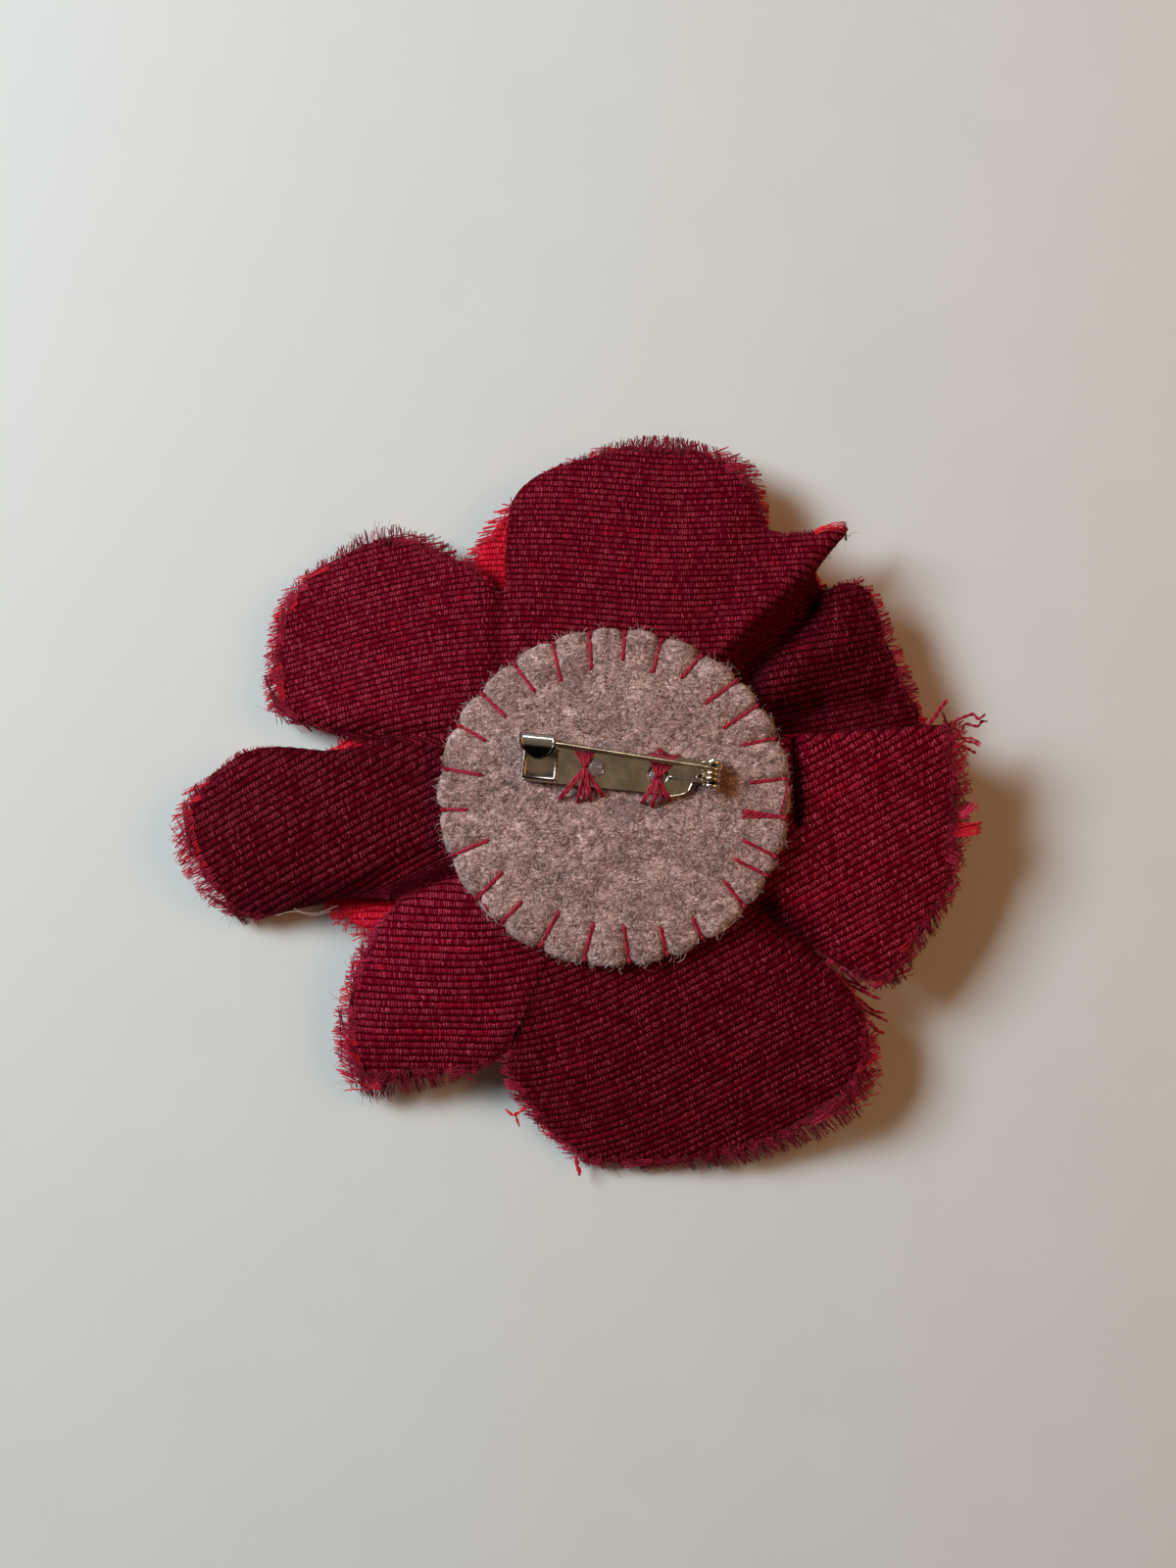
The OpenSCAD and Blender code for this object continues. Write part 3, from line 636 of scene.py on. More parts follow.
def cloth_solid(rays, gaps, start, end, hub_r, hub_z, seed, s, ribs=RIB_H):
    """Closed cloth from one ray to another, both faces and the rim, with the ribs in relief."""
    u = places(rays, gaps, start, end)
    whole = end - start == len(rays)
    u = u[:-1] if whole else u
    middle, normal, weave, slope = cloth_points(rays, u, s, hub_r, hub_z, seed)
    slant = 0.93 * np.tan(0.6 * slope)
    n, m = len(u), len(s)
    half = CLOTH_T / 2 * mix(0.45, 1.0, smooth(0.0, 1.2, weave[..., 2]))
    relief = ribs * (0.5 * np.cos(TURN * weave[..., 1]) - 0.1)
    relief = relief * smooth(0.1, 1.0, weave[..., 2]) * smooth(0.02, 0.15, s)[None, :]
    upper = middle + normal * (half + relief)[..., None]
    rows = np.unique(np.round(np.linspace(0, m - 1, UNDER_ROWS)).astype(int))
    lower = middle[:, rows] - normal[:, rows] * half[:, rows, None]
    k = len(rows)
    centre = np.array([[0, 0, hub_z + CLOTH_T / 2], [0, 0, hub_z - CLOTH_T / 2]])
    points = np.concatenate([upper.reshape(-1, 3), lower.reshape(-1, 3), centre])
    weaves = np.concatenate([weave.reshape(-1, 3), weave[:, rows].reshape(-1, 3),
                             [[0, 0, 9], [0, 0, 9]]])
    base, mid = n * m, n * m + n * k
    i = np.arange(n if whole else n - 1)
    j = (i + 1) % n
    top = grid_faces(n, m, wrap=whole)[:, ::-1]
    under = grid_faces(n, k, start=base, wrap=whole)
    rim = np.stack([i * m + m - 1, j * m + m - 1, base + j * k + k - 1, base + i * k + k - 1], axis=1)[:, ::-1]
    hub_top = np.stack([np.full(len(i), mid), i * m, j * m], axis=1)
    hub_under = np.stack([np.full(len(i), mid + 1), base + j * k, base + i * k], axis=1)
    faces = [top, under, rim, hub_top, hub_under]
    slots = [0, 1, 0, 0, 1]
    if not whole:
        for ray, flip in ((0, False), (n - 1, True)):
            side = np.concatenate([[mid], ray * m + np.arange(m), base + ray * k + np.arange(k)[::-1], [mid + 1]])
            faces.append((side[::-1] if flip else side)[None, :])
            slots.append(0)
    face_slots = np.concatenate([np.full(len(f), slot) for f, slot in zip(faces, slots)])
    slants = np.concatenate([slant.ravel(), slant[:, rows].ravel(), [0, 0]])
    # Painted shade: each ray of the back cloth gets the shade factor of its petal
    if rays is RAYS:
        angle = (ray_at(rays, u)[:, 3] + 42) % 360 - 42
        shade = np.interp(angle, SHADE_ROOT, SHADE)
    else:
        shade = np.ones(n)
    shades = np.concatenate([np.repeat(shade, m), np.ones(n * k), [1, 1]])
    slub = slub_strength(upper) if rays is RAYS else np.zeros(upper.shape[:-1])
    slubs = np.concatenate([slub.ravel(), np.zeros(n * k + 2)])
    return points, faces, weaves, slants, face_slots, shades, slubs


FINE_ROWS = np.concatenate([np.linspace(0, 0.2, 6, endpoint=False), np.linspace(0.2, 1, 118)])


def back_cloth(name, start, end, seed):
    points, faces, weaves, slants, slots, shades, slubs = cloth_solid(
        RAYS, RAY_GAPS, start, end, HUB_R, CLOTH_Z, seed, FINE_ROWS)
    piece = add_piece(name, points, faces, "flower", "double_cloth", [burgundy_cloth, red_cloth],
                      weave=weaves, tone=slants, face_slots=slots)
    paint(piece, shade=shades, slub=slubs)
    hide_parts("back_petals")
    return piece


back_left = back_cloth("back_cloth_left", LEFT_START, LEFT_END, 11)
back_right = back_cloth("back_cloth_right", LEFT_END, LEFT_START + len(RAYS), 11)

# Front layer of four lobes in the bright red face of the cloth
LOBES, LOBE_TURN, LOBE_TIP_R, LOBE_VALLEY_R = 4, 99, 42.0, 26.0
LOBE_TIP_Z, LOBE_LIFT, LOBE_HUB_R, LOBE_Z = 3.6, 4.0, 10.0, 13.7


def lobe_rays():
    rows = []
    for a in range(0, 360, 5):
        half = 180 / LOBES
        from_tip = (a - LOBE_TURN + 720 + half) % (2 * half) - half
        share = max(math.cos(math.radians(from_tip * LOBES / 2)), 0) ** 1.3
        reach = mix(LOBE_VALLEY_R, LOBE_TIP_R, share)
        height = mix(LOBE_TIP_Z + LOBE_LIFT, LOBE_TIP_Z, share)
        way = math.radians(a)
        rows.append([reach * math.cos(way), reach * math.sin(way), height, a, 0.9, 0.6 + 1.1 * share])
    return np.array(rows)


LOBE_RAYS = lobe_rays()
LOBE_ROWS = np.concatenate([np.linspace(0, 0.2, 4, endpoint=False), np.linspace(0.2, 1, 48)])
points, faces, weaves, slants, slots, shades, slubs = cloth_solid(
    LOBE_RAYS, np.full(len(LOBE_RAYS), 0.9), 0, len(LOBE_RAYS), LOBE_HUB_R, LOBE_Z, 41, LOBE_ROWS, ribs=0.18)
front_layer = add_piece("front_layer", points, faces, "flower", "red_cloth", [red_cloth, red_cloth],
                        weave=weaves, tone=slants, face_slots=slots)
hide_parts("front_petals")
paint(front_layer, shade=shades, slub=slubs)


# Frayed edges. Where the ribs meet the cut their thick yarns end in blunt stubs, where the cut runs along
# the ribs thin strands stick out across it, and finer fibres curl over both.
def rim_steps(rays, gaps, hub_r, hub_z, seed):
    """Places close together along a rim: its points, frames, fraying, rib slopes and rib numbers."""
    coarse = places(rays, gaps, 0, len(rays))
    u = np.interp(np.linspace(0, len(coarse) - 1, 4 * len(coarse)), np.arange(len(coarse)), coarse)
    nominal = ray_at(rays, u)
    middle, normal, weave, slope = cloth_points(rays, u, np.array([0.94, 0.97, 1.0]), hub_r, hub_z, seed)
    rim = np.column_stack([nominal[:, :2], middle[:, 2, 2]])
    along = unit(np.gradient(rim, axis=0))
    up = unit(normal[:, 2])
    out = np.cross(along, up)
    out *= np.sign(np.sum(out * (middle[:, 2] - middle[:, 0]), axis=1, keepdims=True))
    slopes = slope[:, 2]
    ribs, _ = rib_field(rim[:, 0], rim[:, 1], nominal[:, 3])
    return rim, unit(out), up, along, np.maximum(nominal[:, 5], 0), slopes, ribs


def crossings(values, step):
    """Where values along a rim pass a multiple of step."""
    number = np.floor(values / step)
    jump = np.abs(np.diff(number))
    return np.nonzero((jump > 0) & (jump < 3))[0]


def frayed(steps_of_rim, picks, way_of, rng, count, spread, thick, reach, inset, segments, blunt, lift, curl):
    """Strands out of a rim at picked places: count of them at each place, side by side."""
    rim, out, up, along, fray, slope, ribs = steps_of_rim
    at = np.repeat(picks, count)
    n = len(at)
    way = way_of[at]
    way = unit(way - up[at] * np.sum(way * up[at], axis=1, keepdims=True))
    side = unit(np.cross(way, up[at]))
    shift = np.tile(np.linspace(-spread, spread, count) if count > 1 else [0.0], len(picks))
    shift = shift + rng.normal(0, 0.03, n)
    waves = 0.91 + 0.09 * noise(rim[at, 0], rim[at, 1], 1.9, 55)
    together = np.repeat(rng.uniform(*reach, len(picks)), count)
    far = fray[at] * waves * (together + rng.normal(0, 0.045, n))
    square = np.clip(np.abs(np.sum(way * out[at], axis=1)), 0.4, 1.0)
    back = (inset[0] + 0.42 * fray[at] + 0.06 * fray[at] ** 2) / square + rng.uniform(0, inset[1], n)
    start = rim[at] + side * shift[:, None] - way * back[:, None]
    start = start + up[at] * (lift[0] + lift[1] * rng.uniform(-1.0, 1.0, n))[:, None]
    length = ((far + back) / (segments - 1))[:, None, None]
    lean = 0.3 * noise(rim[at, 0], rim[at, 1], 0.8, 56)
    turn = np.cumsum(rng.normal(0, curl, (n, segments - 1)), axis=1)[..., None] + lean[:, None, None]
    tip = np.cumsum(rng.normal(0, 0.4 * curl, (n, segments - 1)) - 0.02, axis=1)[..., None]
    moves = way[:, None] * np.cos(turn) + side[:, None] * np.sin(turn) + up[at][:, None] * np.sin(tip)
    paths = np.concatenate([start[:, None], start[:, None] + np.cumsum(moves * length, axis=1)], axis=1)
    taper = mix(1.0, blunt, np.linspace(0, 1, segments)[None, :] ** 2)
    radii = thick * rng.uniform(0.8, 1.2, n)[:, None] * taper
    paths[..., 2] = np.maximum(paths[..., 2], radii + 0.04)
    return paths, radii, at


def fray_pieces(name, rays, gaps, hub_r, hub_z, seed, tone_shift, share, fibres, slot):
    rng = np.random.default_rng(seed)
    rim_all = rim_steps(rays, gaps, hub_r, hub_z, seed)
    rim, out, up, along, fray, slope, ribs = rim_all
    rib_way = np.stack([np.cos(slope), np.sin(slope), np.zeros(len(rim))], axis=1)
    cross_way = np.stack([-np.sin(slope), np.cos(slope), np.zeros(len(rim))], axis=1)
    rib_dot, cross_dot = np.sum(rib_way * out, axis=1), np.sum(cross_way * out, axis=1)
    rib_way, cross_way = rib_way * np.sign(rib_dot)[:, None], cross_way * np.sign(cross_dot)[:, None]
    frays = fray > 0.25
    stub_at = crossings(ribs, 1.0)
    stub_at = stub_at[(np.abs(rib_dot[stub_at]) > 0.35) & frays[stub_at]]
    across_line = rim[:, 0] * np.cos(slope) + rim[:, 1] * np.sin(slope)
    strand_at = crossings(across_line, 0.40)
    strand_at = strand_at[(np.abs(cross_dot[strand_at]) > 0.28) & frays[strand_at]]
    stub_count, thin_count = (7, 3) if share == 1 else (4, 1)
    stubs = frayed(rim_all, stub_at, rib_way, rng, stub_count, 0.33, 0.098 / share, (0.74, 0.97), (0.8, 0.3), 6,
                   0.75, (-0.05, 0.10), 0.10)
    thin = frayed(rim_all, strand_at, cross_way, rng, thin_count, 0.10, 0.088 / share, (0.70, 0.97), (0.8, 0.4),
                  6, 0.65, (-0.03, 0.10), 0.08)
    parts, tone = [], []
    # The ends that face left are a brighter red
    red_left = smooth(-31.0, -34.0, rim[:, 0]) * smooth(-0.3, -0.7, out[:, 0])
    red = np.maximum(smooth(0.2, 0.45, noise(rim[:, 0] + 60, rim[:, 1] + 60, 3.2, seed + 9)), red_left)
    for (paths, radii, at), dense, level in ((stubs, stub_count, 0.52), (thin, thin_count, 0.36)):
        parts.append(tubes(paths, radii, 3))
        own = level + np.repeat(rng.normal(0, 0.11, len(at) // dense), dense) + rng.normal(0, 0.11, len(at))
        own = own + 0.10 * red_left[at]
        pick = np.clip(own + tone_shift, 0, 0.72 if tone_shift == 0 else 1.0)
        whole_yarn = np.repeat(rng.uniform(0, 1, len(at) // dense), dense)
        bright = whole_yarn < (0.5 * red[at] if level > 0.5 else 0.04)
        pick = np.where(bright, rng.uniform(0.8, 1.0, len(at)), pick)
        root = np.where(bright, 0.0, 0.08 if level > 0.4 else 0.20)
        run = pick[:, None] - root[:, None] * np.linspace(1, 0, paths.shape[1])[None, :]
        tone.append(np.repeat(run.ravel(), 3))
    points, faces = joined(parts)
    yarns = add_piece(name, points, faces, "flower", slot, [fray_thread], tone=np.concatenate(tone))
    weight = np.linalg.norm(np.gradient(rim, axis=0), axis=1) * smooth(0.05, 0.5, fray) * (0.6 + 0.4 * fray)
    total = np.cumsum(weight)
    at = np.searchsorted(total, np.sort(rng.uniform(0, total[-1], fibres)))
    aim = unit(out + along * rng.normal(0, 0.55, len(out))[:, None])
    paths, radii, at = frayed(rim_all, at, aim, rng, 1, 0.0, 0.030, (-0.1, 0.8), (0.5, 0.6), 5, 0.6,
                              (0.20, 0.24), 0.42)
    points, faces = tubes(paths, radii, 3)
    pick = np.clip(rng.normal(0.42, 0.12, len(at)) + tone_shift, 0.1, 0.72 if tone_shift == 0 else 1.0)
    fuzz = add_piece(name + "_fuzz", points, faces, "flower", slot, [fray_thread], tone=np.repeat(pick, 5 * 3))
    return yarns, fuzz


back_fray, back_fuzz = fray_pieces("back_fray", RAYS, RAY_GAPS, HUB_R, CLOTH_Z, 11, 0.0, 1, 3000, "double_cloth")
front_fray, front_fuzz = fray_pieces("front_fray", LOBE_RAYS, np.full(len(LOBE_RAYS), 0.9), LOBE_HUB_R, LOBE_Z,
                                     41, 0.42, 0.7, 400, "red_cloth")

# Padded centre: cloth gathered round a filling, flat where it rests on the table
CENTRE_R, CENTRE_FLAT_R, CENTRE_TOP = 13.0, 8.0, 13.05
GATHERS = 26


def centre_pad():
    rows = []
    for q in np.linspace(0, 1, 26):
        rows.append((CENTRE_FLAT_R * q, 0.0))
    for a in np.linspace(-90, 0, 22)[1:]:
        rows.append((CENTRE_FLAT_R + 5 * math.cos(math.radians(a)), 5 + 5 * math.sin(math.radians(a))))
    for z in np.linspace(5, CENTRE_TOP - 3.5, 8)[1:]:
        rows.append((CENTRE_R, z))
    for a in np.linspace(0, 90, 12)[1:]:
        rows.append((9.5 + 3.5 * math.cos(math.radians(a)), CENTRE_TOP - 3.5 + 3.5 * math.sin(math.radians(a))))
    rows.append((0.0, CENTRE_TOP))
    profile = np.array(rows)
    profile[0, 0] = 0
    points, faces = lathe(profile, 240)
    x, y, z = points.T
    r = np.hypot(x, y)
    angle = np.arctan2(y, x)
    shoulder = smooth(5.0, 9.5, r) * (1 - smooth(CENTRE_TOP - 1.5, CENTRE_TOP, z))
    gather = np.cos(GATHERS * angle + 1.6 * noise(np.degrees(angle), z * 0, 24.0, 61))
    scale = 1 - shoulder * (0.022 * (1 - gather) + 0.02 * (1 + noise(np.degrees(angle), z * 4, 20.0, 62)))
    puff = 0.25 * smooth(2.0, 9.0, r) * (1 - smooth(0.5, 3.0, z))
    out = np.stack([x * scale, y * scale, np.maximum(z + puff * noise(x, y, 4.0, 63), 0.0)], axis=1)
    weave = np.stack([x, np.where(z > 2.5, z + 3, y), np.full(len(x), 9.0)], axis=1)
    return out, faces, weave


points, faces, weaves = centre_pad()
centre = add_piece("centre_pad", points, faces, "flower", "centre_cloth", [burgundy_cloth], weave=weaves,
                   tone=np.full(len(points), 0.1))
paint(centre, shade=np.ones(len(points)))
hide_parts("centre")

# Felt disc: [outer angle, inner angle, inner radius] of each stitch round its edge
FELT_Z, FELT_T = 16.05, 2.0
FELT_RX, FELT_RY = 22.5, 21.5
STITCHES = [[98.8, 100.3, 16.5], [86.5, 86.7, 17.4], [73.5, 73.1, 16.5], [58.8, 60.9, 17.3],
            [43.7, 46.3, 16.4], [32.9, 32.6, 16.3], [20.4, 22.5, 17.3], [6.4, 6.3, 17.1],
            [353.1, 354.4, 16.3], [339.9, 341.8, 17.0], [333.1, 332.9, 17.0], [320.1, 322.8, 17.4],
            [302.1, 303.0, 18.1], [288.5, 289.6, 17.3], [275.1, 274.0, 16.1], [259.4, 260.3, 15.9],
            [243.4, 243.8, 16.0], [227.9, 228.2, 17.6], [216.1, 213.5, 17.0], [199.6, 198.5, 16.8],
            [184.0, 184.6, 18.7], [170.3, 170.3, 17.1], [155.1, 156.1, 17.8], [141.9, 143.3, 17.1],
            [126.9, 127.0, 16.8], [111.9, 114.7, 16.2]]


def felt_rim(angle):
    """Radius of the felt's edge, drawn in at each stitch and bulging between."""
    base = FELT_RX * FELT_RY / np.hypot(FELT_RY * np.cos(angle), FELT_RX * np.sin(angle))
    gap = np.full(np.shape(angle), 1e9)
    for outer, _, _ in STITCHES:
        turn = (angle - math.radians(outer) + np.pi) % TURN - np.pi
        gap = np.minimum(gap, np.abs(turn) * base)
    deg = np.degrees(angle)
    return base - 0.62 * np.exp(-(gap / 0.75) ** 1.6) + 0.16 * noise(deg, deg * 0, 6.0, 71) - 0.1


def stitch_ends(stitch):
    outer, inner, inner_r = stitch
    a, b = math.radians(outer), math.radians(inner)
    rim = float(felt_rim(np.array(a)))
    return (np.array([inner_r * math.cos(b), inner_r * math.sin(b)]),
            np.array([rim * math.cos(a), rim * math.sin(a)]))


def felt_top(x, y):
    """Height of the felt's upper face: pillows between the stitches and a soft rounded edge."""
    angle = np.arctan2(y, x)
    r = np.hypot(x, y)
    rim = felt_rim(angle)
    inward = np.maximum(rim - r, 0)
    round_r = 1.15
    drop = np.sqrt(np.clip(1 - (1 - np.minimum(inward / round_r, 1)) ** 2, 0, 1))
    z = FELT_Z + FELT_T * (0.5 + 0.5 * drop) - 0.25 * smooth(12, 22, r)
    groove = np.zeros(np.shape(x))
    pillow = np.zeros(np.shape(x))
    for stitch in STITCHES:
        p, q = stitch_ends(stitch)
        way = q - p
        t = ((x - p[0]) * way[0] + (y - p[1]) * way[1]) / np.dot(way, way)
        near = np.clip(t, 0.0, 1.0)
        d = np.hypot(x - p[0] - near * way[0], y - p[1] - near * way[1])
        depth = mix(0.45, 1.0, np.clip(t, 0, 1))
        groove = np.maximum(groove, depth * np.exp(-(d / 0.42) ** 2))
        pillow = np.maximum(pillow, depth * np.exp(-(d / 1.25) ** 2))
    z = z - 0.42 * groove - 0.3 * pillow
    z = z + 0.16 * noise(x, y, 4.5, 72) * smooth(0, 3, inward) + 0.07 * noise(x, y, 1.3, 73)
    return z + 0.035 * noise(x, y, 0.5, 74)


FELT_SPOKES = 420
FELT_RINGS = np.concatenate([np.linspace(0.02, 0.68, 20, endpoint=False), np.linspace(0.68, 1, 42)])


def felt_disc():
    angle = TURN * np.arange(FELT_SPOKES) / FELT_SPOKES
    rim = felt_rim(angle)
    r = rim[:, None] * FELT_RINGS[None, :]
    x, y = r * np.cos(angle)[:, None], r * np.sin(angle)[:, None]
    top = np.stack([x, y, felt_top(x, y)], axis=2)
    edge_top = top[:, -1, 2]
    under = []
    for inset, share in ((0.03, 0.82), (0.22, 0.5), (0.6, 0.2), (1.3, 0.0)):
        rr = rim - inset
        z = mix(FELT_Z, edge_top, share)
        under.append(np.stack([rr * np.cos(angle), rr * np.sin(angle), z], axis=1))
    wall = np.stack(under, axis=1)
    grid = np.concatenate([top, wall], axis=1)
    n, m = grid.shape[:2]
    points = np.concatenate([grid.reshape(-1, 3),
                             [[0, 0, float(felt_top(np.array(0.0), np.array(0.0)))], [0, 0, FELT_Z]]])
    i = np.arange(n)
    j = np.roll(i, -1)
    caps = np.concatenate([np.stack([np.full(n, n * m), i * m, j * m], axis=1),
                           np.stack([np.full(n, n * m + 1), j * m + m - 1, i * m + m - 1], axis=1)])
    return points, [grid_faces(n, m, wrap=True)[:, ::-1], caps]


def felt_material():
    s = Surface("taupe_felt", Sheen_Weight=0.05, Sheen_Roughness=0.6, Specular_IOR_Level=0.08)
    place = s.node("ShaderNodeTexCoord", output=3)
    strands = None
    for turn, seed in ((0.4, 0.0), (1.45, 3.0), (2.5, 7.0)):
        spun = s.node("ShaderNodeMapping", Vector=place, Rotation=(0.0, 0.0, turn), Location=(seed, seed, 0.0),
                      Scale=(1500.0, 4000.0, 3000.0))
        one = s.grain(spun, 1.0, 3.0, 0.65, 1.2)
        strands = one if strands is None else s.maths("MAXIMUM", strands, one)
    cloud = s.grain(place, 160.0, 4.0, 0.6)
    tuft = s.grain(place, 620.0, 4.0, 0.65, 0.8)
    level = s.maths("MULTIPLY_ADD", s.maths("SUBTRACT", tuft, 0.5), 0.36, strands)
    level = s.maths("MULTIPLY_ADD", s.maths("SUBTRACT", cloud, 0.5), 0.17, level)
    colour = s.ramp(level, [(0.44, (0.105, 0.056, 0.047)), (0.55, (0.36, 0.213, 0.192)),
                            (0.64, (0.66, 0.428, 0.393)), (0.72, (1.0, 0.80, 0.75))])
    height = s.maths("MULTIPLY_ADD", tuft, 0.7, strands)
    return s.finish(colour, s.bump(height, 0.00022, 0.9), s.step(tuft, 0.3, 0.7, 0.85, 0.98))


taupe_felt = felt_material()
points, faces = felt_disc()
felt = add_piece("felt_backing", points, faces, "flower", "felt", [taupe_felt])
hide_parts("felt_disc")


def felt_fibres(seed, count, loose, long, thick):
    """Short curved fibres that lie on the felt, and longer stray ones that leave its rim."""
    rng = np.random.default_rng(seed)
    steps, sides = 4, 3
    angle = rng.uniform(0, TURN, count)
    r = felt_rim(angle) * np.sqrt(rng.uniform(0, 0.99, count))
    start = np.stack([r * np.cos(angle), r * np.sin(angle)], axis=1)
    way = rng.uniform(0, TURN, count)
    length = rng.uniform(*long, count)
    curl = rng.normal(0, 1.9, count)
    t = np.linspace(-0.5, 0.5, steps)
    heading = way[:, None] + curl[:, None] * t[None, :]
    xy = start[:, None] + np.stack([np.cos(heading), np.sin(heading)], axis=2) * (length[:, None] * t)[..., None]
    arch = rng.uniform(0.0, 0.16, count)[:, None] * (1 - (2 * t[None, :]) ** 2)
    inside = np.minimum(1, (felt_rim(np.arctan2(xy[..., 1], xy[..., 0])) + 0.05) / np.hypot(xy[..., 0], xy[..., 1]))
    xy = xy * inside[..., None]
    z = felt_top(xy[..., 0], xy[..., 1]) + 0.01 + arch
    lying = np.concatenate([xy, z[..., None]], axis=2)
    angle = rng.uniform(0, TURN, loose)
    rim = felt_rim(angle)
    inset = rng.uniform(0.0, 1.0, loose)
    length = rng.uniform(0.3, 1.15, loose) * np.where(rng.uniform(0, 1, loose) < 0.04, 1.6, 1.0)
    heading = angle + rng.normal(0, 0.9, loose)
    curl = rng.normal(0, 1.1, loose)
    t = np.linspace(0, 1, steps)
    turn = heading[:, None] + curl[:, None] * t[None, :]
    start = np.stack([np.cos(angle), np.sin(angle)], axis=1) * (rim - inset)[:, None]
    base_z = np.minimum(felt_top(start[:, 0], start[:, 1]), FELT_Z + FELT_T) - rng.uniform(0, 0.95, loose) ** 2
    rise = rng.normal(0.02, 0.3, loose)
    xy = start[:, None] + np.stack([np.cos(turn), np.sin(turn)], axis=2) * (length[:, None] * t)[..., None]
    z = np.maximum(base_z[:, None] + rise[:, None] * t * length[:, None], 16.1)
    stray = np.concatenate([xy, z[..., None]], axis=2)
    paths = np.concatenate([lying, stray])
    total = len(paths)
    radii = rng.uniform(*thick, total)[:, None] * np.array([0.6, 1.0, 1.0, 0.5])[None, :]
    radii[-loose:] *= 0.75
    points, faces = tubes(paths, radii, sides)
    return points, faces, np.repeat(rng.uniform(0, 1, total), steps * sides)


wool_fibre = thread_material("wool_fibre", [(0.0, (0.10, 0.052, 0.043)), (0.35, (0.33, 0.20, 0.178)),
                                            (0.65, (0.62, 0.435, 0.395)), (1.0, (1.0, 0.86, 0.81))], 0.85, 0.0)
points, faces, tone = felt_fibres(81, 6900, 700, (0.5, 1.3), (0.022, 0.042))
felt_fuzz = add_piece("felt_fibres", points, faces, "flower", "felt", [wool_fibre], tone=tone)
points, faces, tone = felt_fibres(82, 3000, 700, (0.3, 0.8), (0.018, 0.034))
felt_down = add_piece("felt_down", points, faces, "flower", "felt", [wool_fibre], tone=0.25 + 0.75 * tone)


# Stitches: two plies twisted together, out of the felt, along its groove and over the rim
def resampled(path, count):
    """count points evenly along a smooth curve through the points of a path."""
    path = np.asarray(path, float)
    ends = np.concatenate([[2 * path[0] - path[1]], path, [2 * path[-1] - path[-2]]])
    fine = []
    for i in range(1, len(ends) - 2):
        a, b, c, d = ends[i - 1:i + 3]
        t = np.linspace(0, 1, 16, endpoint=False)[:, None]
        fine.append(b + ((c - a) * t + (2 * a - 5 * b + 4 * c - d) * t ** 2 + (3 * b - a - 3 * c + d) * t ** 3) / 2)
    fine = np.concatenate(fine + [path[-1:]])
    far = np.concatenate([[0], np.cumsum(np.linalg.norm(np.diff(fine, axis=0), axis=1))])
    at = np.linspace(0, far[-1], count)
    return np.stack([np.interp(at, far, fine[:, c]) for c in range(3)], axis=1)


def plied(path, radius, pitch, plies=2, steps=44, sides=6, phase=0.0, ends=(0.8, 0.8)):
    """Twisted plies along a path: (points, faces, tone)."""
    line = resampled(path, steps)
    tangent = unit(np.gradient(line, axis=0))
    side = unit(np.cross(tangent, [0.013, 0.021, 1.0]))
    lift = np.cross(side, tangent)
    length = np.linalg.norm(np.diff(line, axis=0), axis=1).sum()
    twist = TURN * np.linspace(0, length / pitch, steps)
    swell = np.interp(np.linspace(0, 1, steps), [0, 0.12, 0.88, 1], [ends[0], 1, 1, ends[1]])
    paths, radii = [], []
    for k in range(plies):
        a = twist + phase + TURN * k / plies
        offset = radius * (0.5 if plies == 2 else 0.56)
        paths.append(line + (side * np.cos(a)[:, None] + lift * np.sin(a)[:, None]) * (offset * swell)[:, None])
        radii.append(radius * (0.54 if plies == 2 else 0.48) * swell)
    points, faces = tubes(np.array(paths), np.array(radii), sides)
    shade = 0.5 + 0.12 * np.cos(np.repeat(np.arange(plies), steps * sides) * 3.0)
    return points, faces, shade


def strands(parts):
    points, faces = joined([(p, f) for p, f, _ in parts])
    return points, faces, np.concatenate([t for _, _, t in parts])


def stitch_path(p, q, rim_z=None):
    """From inside the felt at p along its surface to the rim at q and down under it."""
    way = (q - p) / np.linalg.norm(q - p)
    out = q / np.linalg.norm(q)
    points = []
    for t in (0.04, 0.25, 0.5, 0.75, 0.9):
        x, y = mix(p, q, t)
        points.append([x, y, float(felt_top(np.array(x), np.array(y))) + 0.13])
    x, y = p - way * 0.12
    first = [x, y, points[0][2] - 0.85]
    x, y = q + out * 0.02
    over = [x, y, FELT_Z + 1.35]
    x, y = q + out * 0.2
    down = [x, y, FELT_Z + 0.45]
    x, y = q + out * 0.12
    foot = [x, y, FELT_Z - 0.15]
    x, y = q - out * 0.5
    tuck = [x, y, FELT_Z - 0.25]
    return [first] + points + [over, down, foot, tuck]


parts = []
for number, stitch in enumerate(STITCHES):
    p, q = stitch_ends(stitch)
    parts.append(plied(stitch_path(p, q), 0.26, 2.7, plies=3, steps=30, phase=number * 1.3, ends=(0.7, 0.9)))
for inner, outer_at in ((351.4, 353.4), (353.0, 353.3), (354.4, 353.6)):
    p, q = stitch_ends([outer_at, inner, 16.2])
    parts.append(plied(stitch_path(p, q), 0.19, 1.3, phase=inner, ends=(0.7, 0.9)))


def over_felt(pixels, lift):
    """A path on the felt's surface through pixels of the photograph."""
    path = []
    for px, py in pixels:
        x, y, _ = at_pixel(px, py, FELT_Z + FELT_T)
        path.append([x, y, float(felt_top(np.array(x), np.array(y))) + lift])
    return path


parts.append(plied(over_felt([(804, 793), (802.5, 805), (799.5, 818), (796, 831)], 0.34), 0.17, 1.3, phase=1.0))
parts.append(plied(over_felt([(486, 911), (489.5, 919), (495, 925), (498, 931)], 0.2), 0.13, 1.3, phase=2.0))
stitches = add_piece("edge_stitches", *strands(parts)[:2], "flower", "felt", [stitch_thread],
                     tone=strands(parts)[2])

